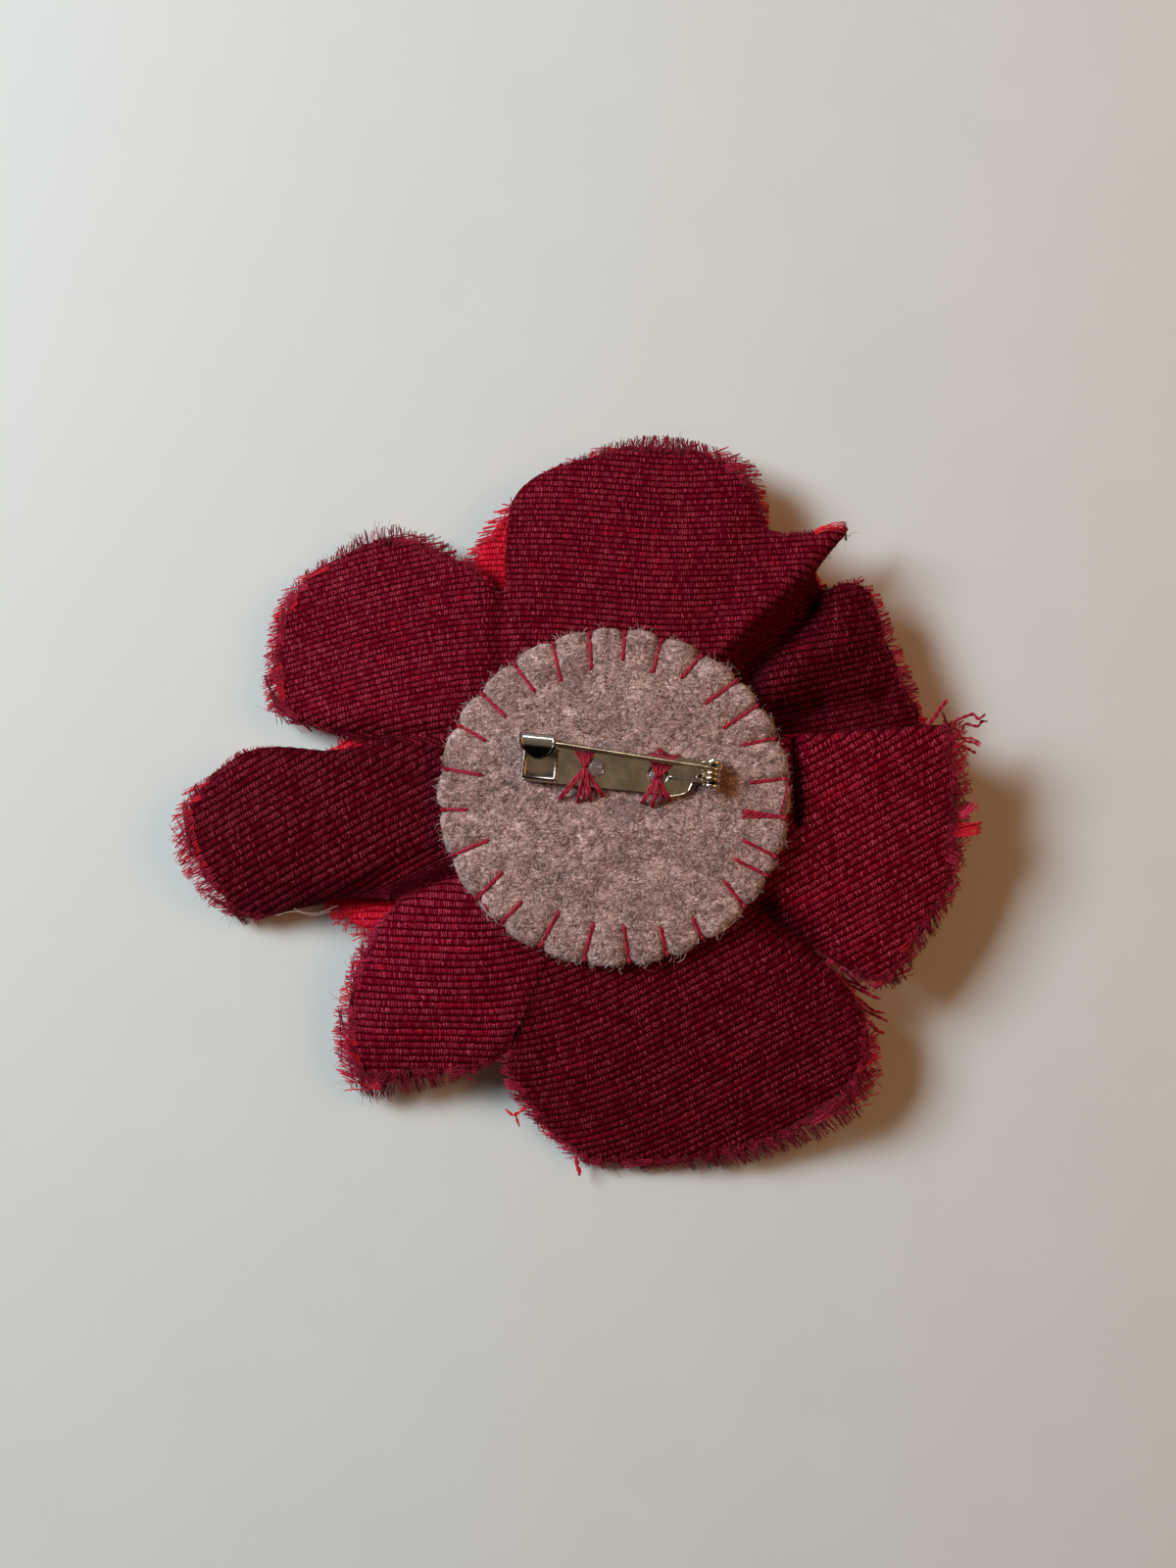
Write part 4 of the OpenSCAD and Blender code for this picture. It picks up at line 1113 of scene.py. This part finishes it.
# Bar pin, in its own frame: x runs from the catch to the hinge, and z up from the plate's underside
PLATE_Z = 18.5
PLATE_AT = np.array([1.3, 3.3, PLATE_Z])
PLATE_TILT = math.radians(-5.6)
PLATE_TURN = np.array([[math.cos(PLATE_TILT), -math.sin(PLATE_TILT), 0],
                       [math.sin(PLATE_TILT), math.cos(PLATE_TILT), 0], [0, 0, 1]])
PLATE_T, PLATE_LEFT, PLATE_RIGHT, PLATE_HALF = 0.5, -12.9, 12.1, 2.4
HINGE_X, HINGE_Z, EAR_LOW, EAR_HIGH, EAR_T, EAR_R = 10.9, 1.82, -0.55, 2.0, 0.4, 1.15
HOLE_X, HOLE_R = 4.15, 1.25


def on_plate(part):
    return moved(part, PLATE_TURN, PLATE_AT)


def plate_point(x, y, z):
    return PLATE_TURN @ np.array([x, y, z]) + PLATE_AT


def softened(corners, radius, steps=5):
    """A closed outline whose corners are rounded off."""
    corners = np.asarray(corners, float)
    out = []
    for a, b, c in zip(np.roll(corners, 1, axis=0), corners, np.roll(corners, -1, axis=0)):
        cut = min(radius, 0.45 * np.linalg.norm(a - b), 0.45 * np.linalg.norm(c - b))
        p, q = b + (a - b) / np.linalg.norm(a - b) * cut, b + (c - b) / np.linalg.norm(c - b) * cut
        for t in np.linspace(0, 1, steps):
            out.append((1 - t) ** 2 * p + 2 * t * (1 - t) * b + t ** 2 * q)
    return np.array(out)


NECK = EAR_LOW - EAR_T
# The plate's cut end beside the hinge, by its pixels in the photograph
BURR = [(681, 812.6), (690, 811.6), (697.4, 810.0), (702.5, 806.6), (704.6, 803), (706.5, 798.6), (710, 794),
        (712.5, 790.5)]
burr_path = np.array([at_pixel(px, py, PLATE_Z + PLATE_T) for px, py in BURR])
cut_end = ((burr_path - PLATE_AT) @ PLATE_TURN)[:, :2]
PLATE_CORNERS = [[PLATE_LEFT, -PLATE_HALF], [cut_end[0, 0] - 0.6, -PLATE_HALF], *cut_end.tolist(),
                 [PLATE_RIGHT, cut_end[-1, 1]], [PLATE_RIGHT, PLATE_HALF], [PLATE_LEFT, PLATE_HALF]]
plate = flat_plate(softened(PLATE_CORNERS, 0.35), [circle(x, 0, HOLE_R, 40) for x in (-HOLE_X, HOLE_X)],
                   PLATE_T, 0.09)


def ear(y, lean):
    arc = [(HINGE_X + EAR_R * math.cos(a), HINGE_Z + EAR_R * math.sin(a))
           for a in np.radians(np.linspace(0, 180, 19))]
    outline = softened([(HINGE_X - EAR_R, 0.05), (HINGE_X + EAR_R, 0.05)], 0.02, 2)
    outline = np.array([(HINGE_X - EAR_R, 0.05), (HINGE_X + EAR_R, 0.05)] + arc)
    hole = circle(HINGE_X, HINGE_Z, 0.47, 24)
    points, faces = flat_plate(outline, [hole], EAR_T, 0.08)
    up = points[:, 1]
    stand = np.column_stack([points[:, 0], y + EAR_T - points[:, 2] + lean * up, up])
    return stand, faces


# Catch: a sheet that rolls up from the plate's edge round the wire, and ends in a round flap
CATCH_W, CATCH_T, CATCH_R = 4.3, 0.35, 0.775
CATCH_Y, CATCH_Z, FLAP_END, FLAP_SLOPE = 2.75, PLATE_T + 0.75, 0.75, math.radians(8)
CATCH_LEFT, CATCH_LEAN = -13.45, 0.12


def catch():
    line = [(1.9, 0.2 - CATCH_Z + CATCH_Z), (2.3, 0.22)]
    turned = []
    for a in np.radians(np.linspace(-78, 90, 22)):
        turned.append((CATCH_R * math.cos(a), CATCH_R * math.sin(a)))
    for x in np.linspace(-0.2, FLAP_END - CATCH_Y, 14):
        turned.append((x, CATCH_R))
    c, s = math.cos(FLAP_SLOPE), math.sin(FLAP_SLOPE)
    ring = [(CATCH_Y + x * c - y * s, CATCH_Z + x * s + y * c) for x, y in turned]
    line = [(1.75, 0.27), (2.1, 0.27), (2.45, 0.34)] + ring
    radius = CATCH_W / 2
    rows = []
    for i, (y, z) in enumerate(line):
        reach = radius
        low = FLAP_END + radius
        if i > 20 and y < low:
            reach = math.sqrt(max(radius ** 2 - (low - y) ** 2, 0.25))
        mid = CATCH_LEFT + radius + CATCH_LEAN * (CATCH_Y - y)
        rows.append([[mid + reach * q, y, z] for q in np.linspace(-1, 1, 15)])
    return thick_sheet(np.array(rows), CATCH_T)


def lip():
    """The raised edge of the plate's end, beside the catch."""
    outline = softened([(PLATE_LEFT + 0.1, 0.15), (PLATE_LEFT + CATCH_W, 0.15),
                        (PLATE_LEFT + CATCH_W, 0.74), (PLATE_LEFT + 0.1, 0.8)], 0.2)
    points, faces = flat_plate(outline, [], 0.36, 0.1)
    return np.column_stack([points[:, 0], -PLATE_HALF + 0.36 - points[:, 2], points[:, 1]]), faces


def rounded_box(corners, low, high, bevel=0.12):
    points, faces = flat_plate(softened(corners, 0.3), [], high - low, bevel)
    return points + np.array([0, 0, low]), faces


def trough():
    """The hollow of the plate's end below the catch."""
    rows = []
    for y in np.linspace(-2.05, 1.95, 15):
        rise = 0.74 + 0.30 * ((y + 0.1) / 2.1) ** 4 + 0.1 * ((y + 0.1) / 2.1) ** 2
        rows.append([[x, y, rise - 0.22 * math.cos((x + 10.65) / 2.1 * 1.35) + 0.1]
                     for x in np.linspace(PLATE_LEFT + 0.15, PLATE_LEFT + CATCH_W, 15)])
    return thick_sheet(np.array(rows), 0.12)


# A crease in the hollow of the plate's other end, coloured brighter than the plate as a painted highlight
CREASE = [(540.6, 774.5), (540.9, 779), (540.4, 784), (541.6, 788), (546, 791)]
# A thin rim along the plate's cut end, coloured brighter than the plate as a painted highlight
burr = resampled(burr_path + np.array([0, 0, 0.02]), 40)
burr = tubes(burr[None], np.full((1, 40), 0.085), 8)
pin_parts = [on_plate(p) for p in (plate, ear(EAR_LOW - EAR_T, 0.0), ear(EAR_HIGH, 0.0), lip())]
pin_parts.append(on_plate(trough()))
trough_points = len(pin_parts[-1][0])
crease = np.array([at_pixel(px, py, PLATE_Z + 0.66) for px, py in CREASE])
crease = resampled(crease, 24)
crease = tubes(crease[None], (0.06 * np.sin(np.linspace(0.25, math.pi - 0.2, 24)) + 0.02)[None], 8)
pin_parts += [crease, burr]


def metal_material(name, bright, dull, rough, scratch=0.35):
    """Nickel plating tinted warm, a painted reflection of the warm room, in lighter and darker patches, with fine
    scratches and small pits.
    """
    s = Surface(name, Metallic=1.0)
    place = s.node("ShaderNodeTexCoord", output=3)
    cloud = s.grain(place, 420.0, 3.0, 0.6)
    lines = s.node("ShaderNodeMapping", Vector=place, Rotation=(0.0, 0.0, 0.35), Scale=(500.0, 9000.0, 3000.0))
    line = s.grain(lines, 1.0, 2.0, 0.5, 0.6)
    pits = s.node("ShaderNodeTexVoronoi", Vector=place, Scale=1500.0)
    pit = s.step(pits, 0.05, 0.16)
    colour = s.blend(s.step(cloud, 0.35, 0.68), dull, bright)
    colour = s.blend(s.maths("MULTIPLY", s.step(line, 0.6, 0.72), scratch), colour, (0.75, 0.72, 0.66))
    colour = s.blend(1.0, colour, s.attribute("tone", 2), "MULTIPLY")
    height = s.maths("MULTIPLY_ADD", line, 0.35, s.maths("MULTIPLY", pit, 0.25))
    shine = s.maths("MULTIPLY_ADD", cloud, 0.12, s.maths("MULTIPLY_ADD", line, 0.1, rough))
    return s.finish(colour, s.bump(height, 0.00002, 0.6), shine)


nickel = metal_material("nickel_plate", (0.63, 0.57, 0.48), (0.43, 0.375, 0.30), 0.05)
warm_wire = metal_material("warm_steel_wire", (0.74, 0.60, 0.42), (0.42, 0.31, 0.20), 0.10)
bright_rivet = metal_material("bright_rivet", (0.86, 0.84, 0.78), (0.60, 0.56, 0.48), 0.06)
points, faces = joined(pin_parts)
shade = np.ones(len(points))
# Painted highlight: the rim and the crease are coloured 1.7 times as bright as the plate
bright = len(burr[0]) + len(crease[0])
shade[-bright:] = 1.7
# Painted shade: the hollow below the catch is coloured 0.8 times as bright
shade[-bright - trough_points:-bright] = 0.8
bar = add_piece("bar_plate", points, faces, "flower", "plated_steel", [nickel], tone=shade)
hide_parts("pin_plate")
# The catch's flap is coloured near black, a painted reflection of the dark of the room, and its roll mirrors the window
points, faces = on_plate(catch())
back = (points - PLATE_AT) @ PLATE_TURN
painted_dark_flap = (1 - smooth(2.05, 2.3, back[:, 1])) * smooth(1.3, 1.5, back[:, 2])
catch_steel = metal_material("catch_steel", (0.70, 0.68, 0.64), (0.50, 0.47, 0.42), 0.12)
catch_piece = add_piece("catch", points, faces, "flower", "plated_steel", [catch_steel],
                        tone=mix(0.78, 0.02, painted_dark_flap))
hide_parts("pin_plate")

# Rivet with a domed head at each end
RIVET_R, RIVET_HEAD_R, RIVET_HEAD = 0.45, 0.78, 0.42


def rivet():
    low, high = EAR_LOW - EAR_T - 0.02, EAR_HIGH + EAR_T + 0.02
    arc = np.radians(np.linspace(0, 90, 8))
    dome = [(RIVET_HEAD_R * math.sin(a), RIVET_HEAD * math.cos(a)) for a in arc]
    rows = [(r, low - h) for r, h in dome] + [(RIVET_R, low - 0.0), (RIVET_R, high)]
    rows += [(r, high + h) for r, h in dome[::-1]]
    points, faces = lathe(np.array(rows), 36)
    return np.column_stack([points[:, 0] + HINGE_X, points[:, 2], points[:, 1] + HINGE_Z]), \
        [f[:, ::-1] for f in faces]


points, faces = on_plate(rivet())
rivet_piece = add_piece("hinge_rivet", points, faces, "flower", "plated_steel", [bright_rivet],
                        tone=np.ones(len(points)))
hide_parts("rivet")

# Pin wire: its coil round the rivet, its leg and its point
WIRE_R, COIL_R, COIL_PITCH, COIL_TOP_Y = 0.33, 0.87, 0.64, 1.43
WIRE_WAY = np.array([-0.9965, 0.0595, -0.0588])
WIRE_L, TAPER_L, TIP_R = 23.3, 4.4, 0.08


def coil_line(turns, steps):
    a = np.linspace(0, TURN * turns, steps)
    return np.column_stack([HINGE_X + COIL_R * np.sin(a), COIL_TOP_Y - COIL_PITCH * a / TURN,
                            HINGE_Z + COIL_R * np.cos(a)])


coil = coil_line(2.5, 110)
start = coil[0]
far = np.concatenate([np.linspace(0, WIRE_L - TAPER_L, 30), np.linspace(WIRE_L - TAPER_L, WIRE_L, 14)[1:]])
leg = start + far[:, None] * unit(WIRE_WAY)
line = np.concatenate([leg[::-1], coil[1:]])
radius = np.interp(far, [0, WIRE_L - TAPER_L, WIRE_L - 0.6, WIRE_L], [WIRE_R, WIRE_R, 0.14, TIP_R])
radius = np.concatenate([radius[::-1], np.full(len(coil) - 1, WIRE_R)])
points, faces = on_plate(tubes(line[None], radius[None], 12))
along_wire = ((points - PLATE_AT) @ PLATE_TURN)[:, 0]
# Painted highlight: the wire is coloured darker towards the catch and brighter towards the coil
wire = add_piece("pin_coil_and_leg", points, faces, "pin", "pin_steel", [warm_wire],
                 tone=mix(0.62, 1.05, smooth(-9, 8, along_wire)))
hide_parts("pin_wire")

# The coil's other end, pressed on the plate
end = coil[-1]
tail_line = np.array([end + [-d, 0.06 * d / 5.4, 0.0] for d in np.linspace(-0.05, 5.4, 20)])
tail_radius = np.full(20, 0.31)
tail_radius[-1] = 0.2
points, faces = on_plate(tubes(tail_line[None], tail_radius[None], 12))
tail = add_piece("spring_end", points, faces, "flower", "pin_steel", [bright_rivet], tone=np.ones(len(points)))
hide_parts("spring_tail")

# Sewing threads through the two holes of the plate
HOLE_LEFT, HOLE_RIGHT = (597, 784), (671, 794)
# [far end, hole, distance between its two strands]
SEWING = [[(586.5, 763.5), HOLE_LEFT, 0.0], [(590, 764), HOLE_LEFT, 0.0], [(596, 764.4), HOLE_LEFT, 0.15],
          [(600, 764.8), HOLE_LEFT, 0.15], [(604.5, 765.6), HOLE_LEFT, 0.15], [(607, 766.2), HOLE_LEFT, 0.0],
          [(571.2, 815), HOLE_LEFT, 0.17], [(589.3, 818.3), HOLE_LEFT, 0.15], [(595.5, 817), HOLE_LEFT, 0.0],
          [(602.2, 816.6), HOLE_LEFT, 0.15], [(614.9, 812.3), HOLE_LEFT, 0.17],
          [(662, 769.5), HOLE_RIGHT, 0.13], [(666.5, 768), HOLE_RIGHT, 0.13], [(673.4, 764), HOLE_RIGHT, 0.13],
          [(678, 769), HOLE_RIGHT, 0.13], [(684, 770.4), HOLE_RIGHT, 0.13], [(688.5, 772), HOLE_RIGHT, 0.13],
          [(692.4, 770.4), HOLE_RIGHT, 0.0], [(693.4, 774.6), HOLE_RIGHT, 0.0],
          [(655.5, 819.3), HOLE_RIGHT, 0.17], [(665.8, 823.4), HOLE_RIGHT, 0.17],
          [(675, 819.5), HOLE_RIGHT, 0.0], [(683.4, 816.7), HOLE_RIGHT, 0.17]]
parts = []
rng = np.random.default_rng(91)
plate_top = PLATE_Z + PLATE_T
number = 0
for far_end, hole, apart in SEWING:
    outer, inner = at_pixel(*far_end, plate_top), at_pixel(*hole, plate_top)
    way = unit((outer - inner)[:2])
    beside = np.array([-way[1], way[0]])
    for sign in ((-1, 1) if apart else (0,)):
        rank = 0.12 + 0.11 * (number % 4)
        spread = rng.uniform(-0.14, 0.14, 2)
        far = outer[:2] + beside * sign * apart * 0.6 + rng.normal(0, 0.03, 2)
        near = inner[:2] + spread + beside * sign * apart * 0.7
        felt_z = float(felt_top(np.array(far[0]), np.array(far[1])))
        path = [[*(near - way * 0.15), plate_top - 0.35], [*(near + way * 0.3), plate_top + rank],
                [*(mix(near, far, 0.5) + beside * sign * apart * 0.3), plate_top + rank + 0.03],
                [*mix(near, far, 0.84), plate_top + 0.12], [*far, felt_z + 0.1],
                [*(far + way * 0.12), felt_z - 0.5]]
        parts.append(plied(path, 0.20, 2.4, steps=26, phase=number * 2.1, ends=(0.9, 0.8)))
        number += 1
points, faces, tone = strands(parts)
sewing = add_piece("sewing_threads", points, faces, "flower", "felt", [stitch_thread], tone=tone)

# Long loose yarns at the cut edges, by the pixels that they cross: [height at each end, radius, tone, pixels]
LOOSE_YARNS = [
    [12.6, 12.2, 0.20, 0.20, [(944, 743), (948, 738), (954, 730), (959, 722), (968, 714)]],
    [12.6, 12.9, 0.13, 0.22, [(966, 741), (972, 737), (979, 732), (986, 732), (993, 729), (1000, 733), (1006, 728)]],
    [12.4, 12.0, 0.12, 0.12, [(968, 746), (974, 745), (980, 745), (986, 740), (994, 739), (1002, 734), (1008, 734)]],
    [12.2, 11.4, 0.12, 0.30, [(968, 748), (975, 751), (985, 755), (994, 757), (999, 762)]],
    [12.2, 11.6, 0.09, 0.34, [(970, 750), (978, 753), (990, 754), (1000, 758)]],
    [12.0, 11.0, 0.13, 0.30, [(975, 760), (982, 763), (988, 765), (993, 770)]],
    [9.0, 8.2, 0.14, 0.10, [(826, 968), (832, 974), (842, 981), (857, 987), (872, 1001), (886, 1012), (899, 1018)]],
    [9.0, 8.0, 0.13, 0.14, [(832, 982), (837, 985), (848, 991), (861, 997), (873, 1006), (886, 1013)]],
    [8.6, 7.8, 0.13, 0.16, [(836, 990), (842, 993), (854, 997), (865, 1003), (879, 1010), (898, 1019)]],
    [8.4, 7.6, 0.15, 0.12, [(842, 996), (848, 1001), (857, 1007), (867, 1011), (879, 1021), (891, 1028), (903, 1035)]],
    [8.4, 7.8, 0.10, 0.10, [(846, 1000), (852, 1004), (856, 1010), (866, 1012)]],
    [8.0, 7.2, 0.13, 0.14, [(855, 1014), (861, 1018), (867, 1021), (873, 1026), (880, 1028), (886, 1032), (905, 1044)]],
    [7.8, 6.8, 0.20, 0.34, [(860, 1029), (867, 1034), (877, 1040), (886, 1045), (896, 1051), (904, 1055)]],
    [7.2, 6.4, 0.18, 0.36, [(872, 1055), (881, 1062), (888, 1066), (897, 1071)]],
    [4.2, 4.0, 0.10, 0.90, [(516, 1132), (522, 1137), (529, 1136), (536, 1132)]],
    [4.2, 3.8, 0.09, 0.90, [(526, 1135), (529, 1142), (530, 1151)]],
    [2.6, 2.2, 0.20, 0.50, [(588, 1180), (590, 1187), (591, 1194), (590, 1198)]],
]
# Flat tufts of the cut edges: [height, width, strands, tone, from, to]
TUFTS = [[11.6, 1.3, 22, 0.86, (964, 850), (1001, 844)], [11.7, 1.1, 14, 0.52, (966, 836), (990, 828)],
         [11.8, 0.6, 8, 0.66, (980, 832), (998, 821)],
         [11.8, 0.5, 4, 0.9, (976, 782), (985, 781)], [7.9, 0.6, 5, 0.95, (908, 714), (927, 706)],
         [10.6, 1.0, 9, 0.98, (832, 544), (863, 537)], [3.9, 0.5, 4, 0.95, (291, 624), (279, 631)],
         [3.7, 0.5, 4, 0.95, (286, 688), (273, 699)], [3.6, 0.5, 4, 0.92, (287, 718), (273, 722)],
         [3.8, 0.4, 3, 0.95, (289, 655), (277, 661)], [11.5, 1.2, 8, 0.6, (962, 870), (980, 878)]]
parts = []
rng = np.random.default_rng(95)
for z0, z1, radius, tone, pixels in LOOSE_YARNS:
    heights = np.linspace(z0, z1, len(pixels))
    path = np.array([at_pixel(px, py, z) for (px, py), z in zip(pixels, heights)])
    path[1:] += rng.normal(0, 0.16, (len(path) - 1, 3))
    part = plied(path, 0.08 + 1.15 * radius, 2.0, steps=34, sides=5, phase=rng.uniform(0, 6), ends=(1.0, 0.6))
    parts.append((part[0], part[1], np.full(len(part[0]), tone + 0.3)))
for z, width, count, tone, near_end, far_end in TUFTS:
    a, b = at_pixel(*near_end, z), at_pixel(*far_end, z)
    side = unit(np.cross(b - a, [0, 0, 1.0]))
    for k in range(count):
        across = (k / max(count - 1, 1) - 0.5) * width
        wave = rng.normal(0, 0.10, (4, 3))
        reach = rng.uniform(0.86, 1.03)
        path = np.array([a + (b - a) * reach * q + side * across * (1 + 0.2 * q) + wave[i]
                         for i, q in enumerate((0.0, 0.35, 0.7, 1.0))])
        line = resampled(path, 10)
        points, faces = tubes(line[None], np.linspace(0.14, 0.07, 10)[None], 5)
        parts.append((points, faces, np.full(len(points), tone + rng.normal(0, 0.04))))
points, faces, tone = strands(parts)
loose = add_piece("loose_yarns", points, faces, "flower", "double_cloth", [fray_thread], tone=tone)

# Pale hairs that have caught on the cloth: [height, pixels]
LINT = [[4.5, [(256, 628), (264, 632), (274, 635), (282, 643)]], [4.6, [(268, 618), (273, 628), (281, 634)]],
        [6.0, [(282, 934), (300, 930), (322, 932), (345, 924)]], [6.2, [(300, 927), (318, 934), (338, 930)]],
        [9.8, [(866, 684), (871, 679), (877, 677), (880, 683), (875, 689)]],
        [10.2, [(852, 631), (857, 634), (859, 640), (857, 645)]], [9.9, [(862, 668), (868, 672), (869, 679)]],
        [3.0, [(505, 540), (513, 534), (524, 533)]]]
parts = []
for z, pixels in LINT:
    path = [at_pixel(px, py, z + rng.uniform(-0.1, 0.3)) for px, py in pixels]
    line = resampled(path, 16)
    parts.append(tubes(line[None], np.full((1, 16), 0.021), 4))
points, faces = joined(parts)
lint = add_piece("lint_hairs", points, faces, "flower", "felt", [wool_fibre], tone=np.full(len(points), 0.95))


# Clear glue: a film squeezed out round the plate and a bead in each hole
def glue_lens(x, y, rx, ry, low, high, seed, turn=0.0):
    """A low blob with a wavy outline."""
    sides, rings = 64, 9
    angle = TURN * np.arange(sides) / sides
    wave = 1 + 0.1 * noise(np.degrees(angle), angle * 0 + seed, 42.0, seed)
    wave = wave + 0.05 * noise(np.degrees(angle), angle * 0 + seed, 16.0, seed + 5)
    wave[-3:] = mix(wave[-4], wave[0], np.array([0.25, 0.5, 0.75]))
    q = np.linspace(0.08, 1, rings)
    lift = np.sqrt(np.clip(1 - q ** 2.4, 0, 1))
    px = rx * wave[:, None] * q * np.cos(angle)[:, None]
    py = ry * wave[:, None] * q * np.sin(angle)[:, None]
    c, s = math.cos(turn), math.sin(turn)
    gx, gy = x + px * c - py * s, y + px * s + py * c
    top = np.stack([gx, gy, low + 0.06 + (high - low - 0.06) * np.broadcast_to(lift, gx.shape)], axis=2)
    under = np.stack([gx[:, ::-1][:, :3], gy[:, ::-1][:, :3], np.full((sides, 3), low)], axis=2)
    grid = np.concatenate([top, under], axis=1)
    m = grid.shape[1]
    points = np.concatenate([grid.reshape(-1, 3), [[x, y, high], [x, y, low]]])
    i = np.arange(sides)
    j = np.roll(i, -1)
    caps = np.concatenate([np.stack([np.full(sides, sides * m), i * m, j * m], axis=1),
                           np.stack([np.full(sides, sides * m + 1), j * m + m - 1, i * m + m - 1], axis=1)])
    return points, [grid_faces(sides, m, wrap=True)[:, ::-1], caps]


felt_level = FELT_Z + FELT_T - 0.1
BLOBS = [(634, 823, 3.5, 1.75, felt_level, 18.18, 3, -0.4), (577, 802, 2.2, 1.0, felt_level, 18.2, 4, -0.35),
         (628, 761.5, 2.3, 0.75, felt_level, 18.3, 5, -0.1), (676, 826, 0.75, 0.65, felt_level, 18.35, 6, 0.0),
         (607.3, 783.3, 1.25, 1.3, plate_top - 0.35, plate_top + 0.55, 7, 0.0),
         (671, 793, 1.3, 1.25, plate_top - 0.4, plate_top + 0.12, 8, 0.0)]
parts = []
for px, py, rx, ry, low, high, seed, turn in BLOBS:
    x, y, _ = at_pixel(px, py, high)
    parts.append(glue_lens(x, y, rx, ry, low, high, seed, turn))
film = flat_plate(softened([(-11.4, -2.1), (9.0, -2.1), (9.4, 1.9), (-11.4, 1.9)], 0.8), [], 0.42, 0.1)
parts.append(on_plate((film[0] + np.array([0, 0, -0.45]), film[1])))


def glue_material():
    s = Surface("clear_glue", Transmission_Weight=0.9, IOR=1.36, Specular_IOR_Level=0.4)
    place = s.node("ShaderNodeTexCoord", output=3)
    cloud = s.grain(place, 700.0, 3.0, 0.6)
    colour = s.blend(s.step(cloud, 0.3, 0.7), (0.86, 0.70, 0.69), (0.94, 0.83, 0.83))
    return s.finish(colour, s.bump(cloud, 0.00008, 0.6), s.step(cloud, 0.35, 0.7, 0.08, 0.26))


points, faces = joined(parts)
glue = add_piece("glue_film", points, faces, "flower", "clear_glue", [glue_material()])
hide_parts("glue")

# Plain pale floor, soft cool light from the upper left and a weak warm one from the right
bpy.ops.mesh.primitive_plane_add(size=3.0, location=(0, 0, -0.0001))
floor = bpy.context.object
floor.name = "floor"
s = Surface("pale_floor", Specular_IOR_Level=0.2)
place = s.node("ShaderNodeTexCoord", output=3)
cloud = s.grain(place, 60.0, 4.0, 0.6)
floor.data.materials.append(s.finish(s.blend(cloud, (0.70, 0.72, 0.70), (0.74, 0.755, 0.735)), None,
                                     s.step(cloud, 0.3, 0.7, 0.5, 0.6)))
floor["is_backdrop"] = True


def area_light(name, place, size, energy, colour):
    light = bpy.data.lights.new(name, "AREA")
    light.size, light.energy, light.color = size, energy, colour
    lamp = bpy.data.objects.new(name, light)
    lamp.location = place
    lamp.rotation_euler = (-Vector(place)).to_track_quat("-Z", "Y").to_euler()
    bpy.context.collection.objects.link(lamp)
    return lamp


area_light("window", (-0.45, 0.235, 0.46), 0.28, 5.0, (0.85, 0.955, 1.0))
area_light("warm_fill", (0.40, 0.10, 0.42), 0.30, 0.85, (1.0, 0.44, 0.15))
gleam = area_light("gleam", (-0.12, 0.66, 0.50), 0.30, 2.4, (0.94, 0.98, 1.0))
ceiling = area_light("ceiling", (0.02, 0.02, 0.95), 0.60, 0.195, (1.0, 0.77, 0.56))
for card in (gleam, ceiling):
    card.visible_diffuse = False
    card.visible_camera = False

# The room: dark overhead, so that the metal has something to mirror, and brighter towards the sides
world = bpy.data.worlds.new("studio")
bpy.context.scene.world = world
world.use_nodes = True
tree = world.node_tree
look = tree.nodes.new("ShaderNodeTexCoord")
height = tree.nodes.new("ShaderNodeSeparateXYZ")
shades = tree.nodes.new("ShaderNodeValToRGB")
tree.links.new(look.outputs[0], height.inputs[0])
tree.links.new(height.outputs[2], shades.inputs[0])
tree.links.new(shades.outputs[0], tree.nodes["Background"].inputs[0])
shades.color_ramp.elements[0].position, shades.color_ramp.elements[1].position = 0.25, 0.96
shades.color_ramp.elements[0].color = (0.09, 0.065, 0.048, 1)
shades.color_ramp.elements[1].color = (0.045, 0.031, 0.021, 1)
bpy.context.scene.view_settings.view_transform = "Standard"

camera = bpy.data.objects.new("camera", bpy.data.cameras.new("camera"))
camera.location = Vector(EYE * MM)
camera.data.sensor_width = 36.0
camera.data.lens = 53.04
camera.data.clip_start = 0.01
bpy.context.collection.objects.link(camera)
bpy.context.scene.camera = camera

low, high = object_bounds()
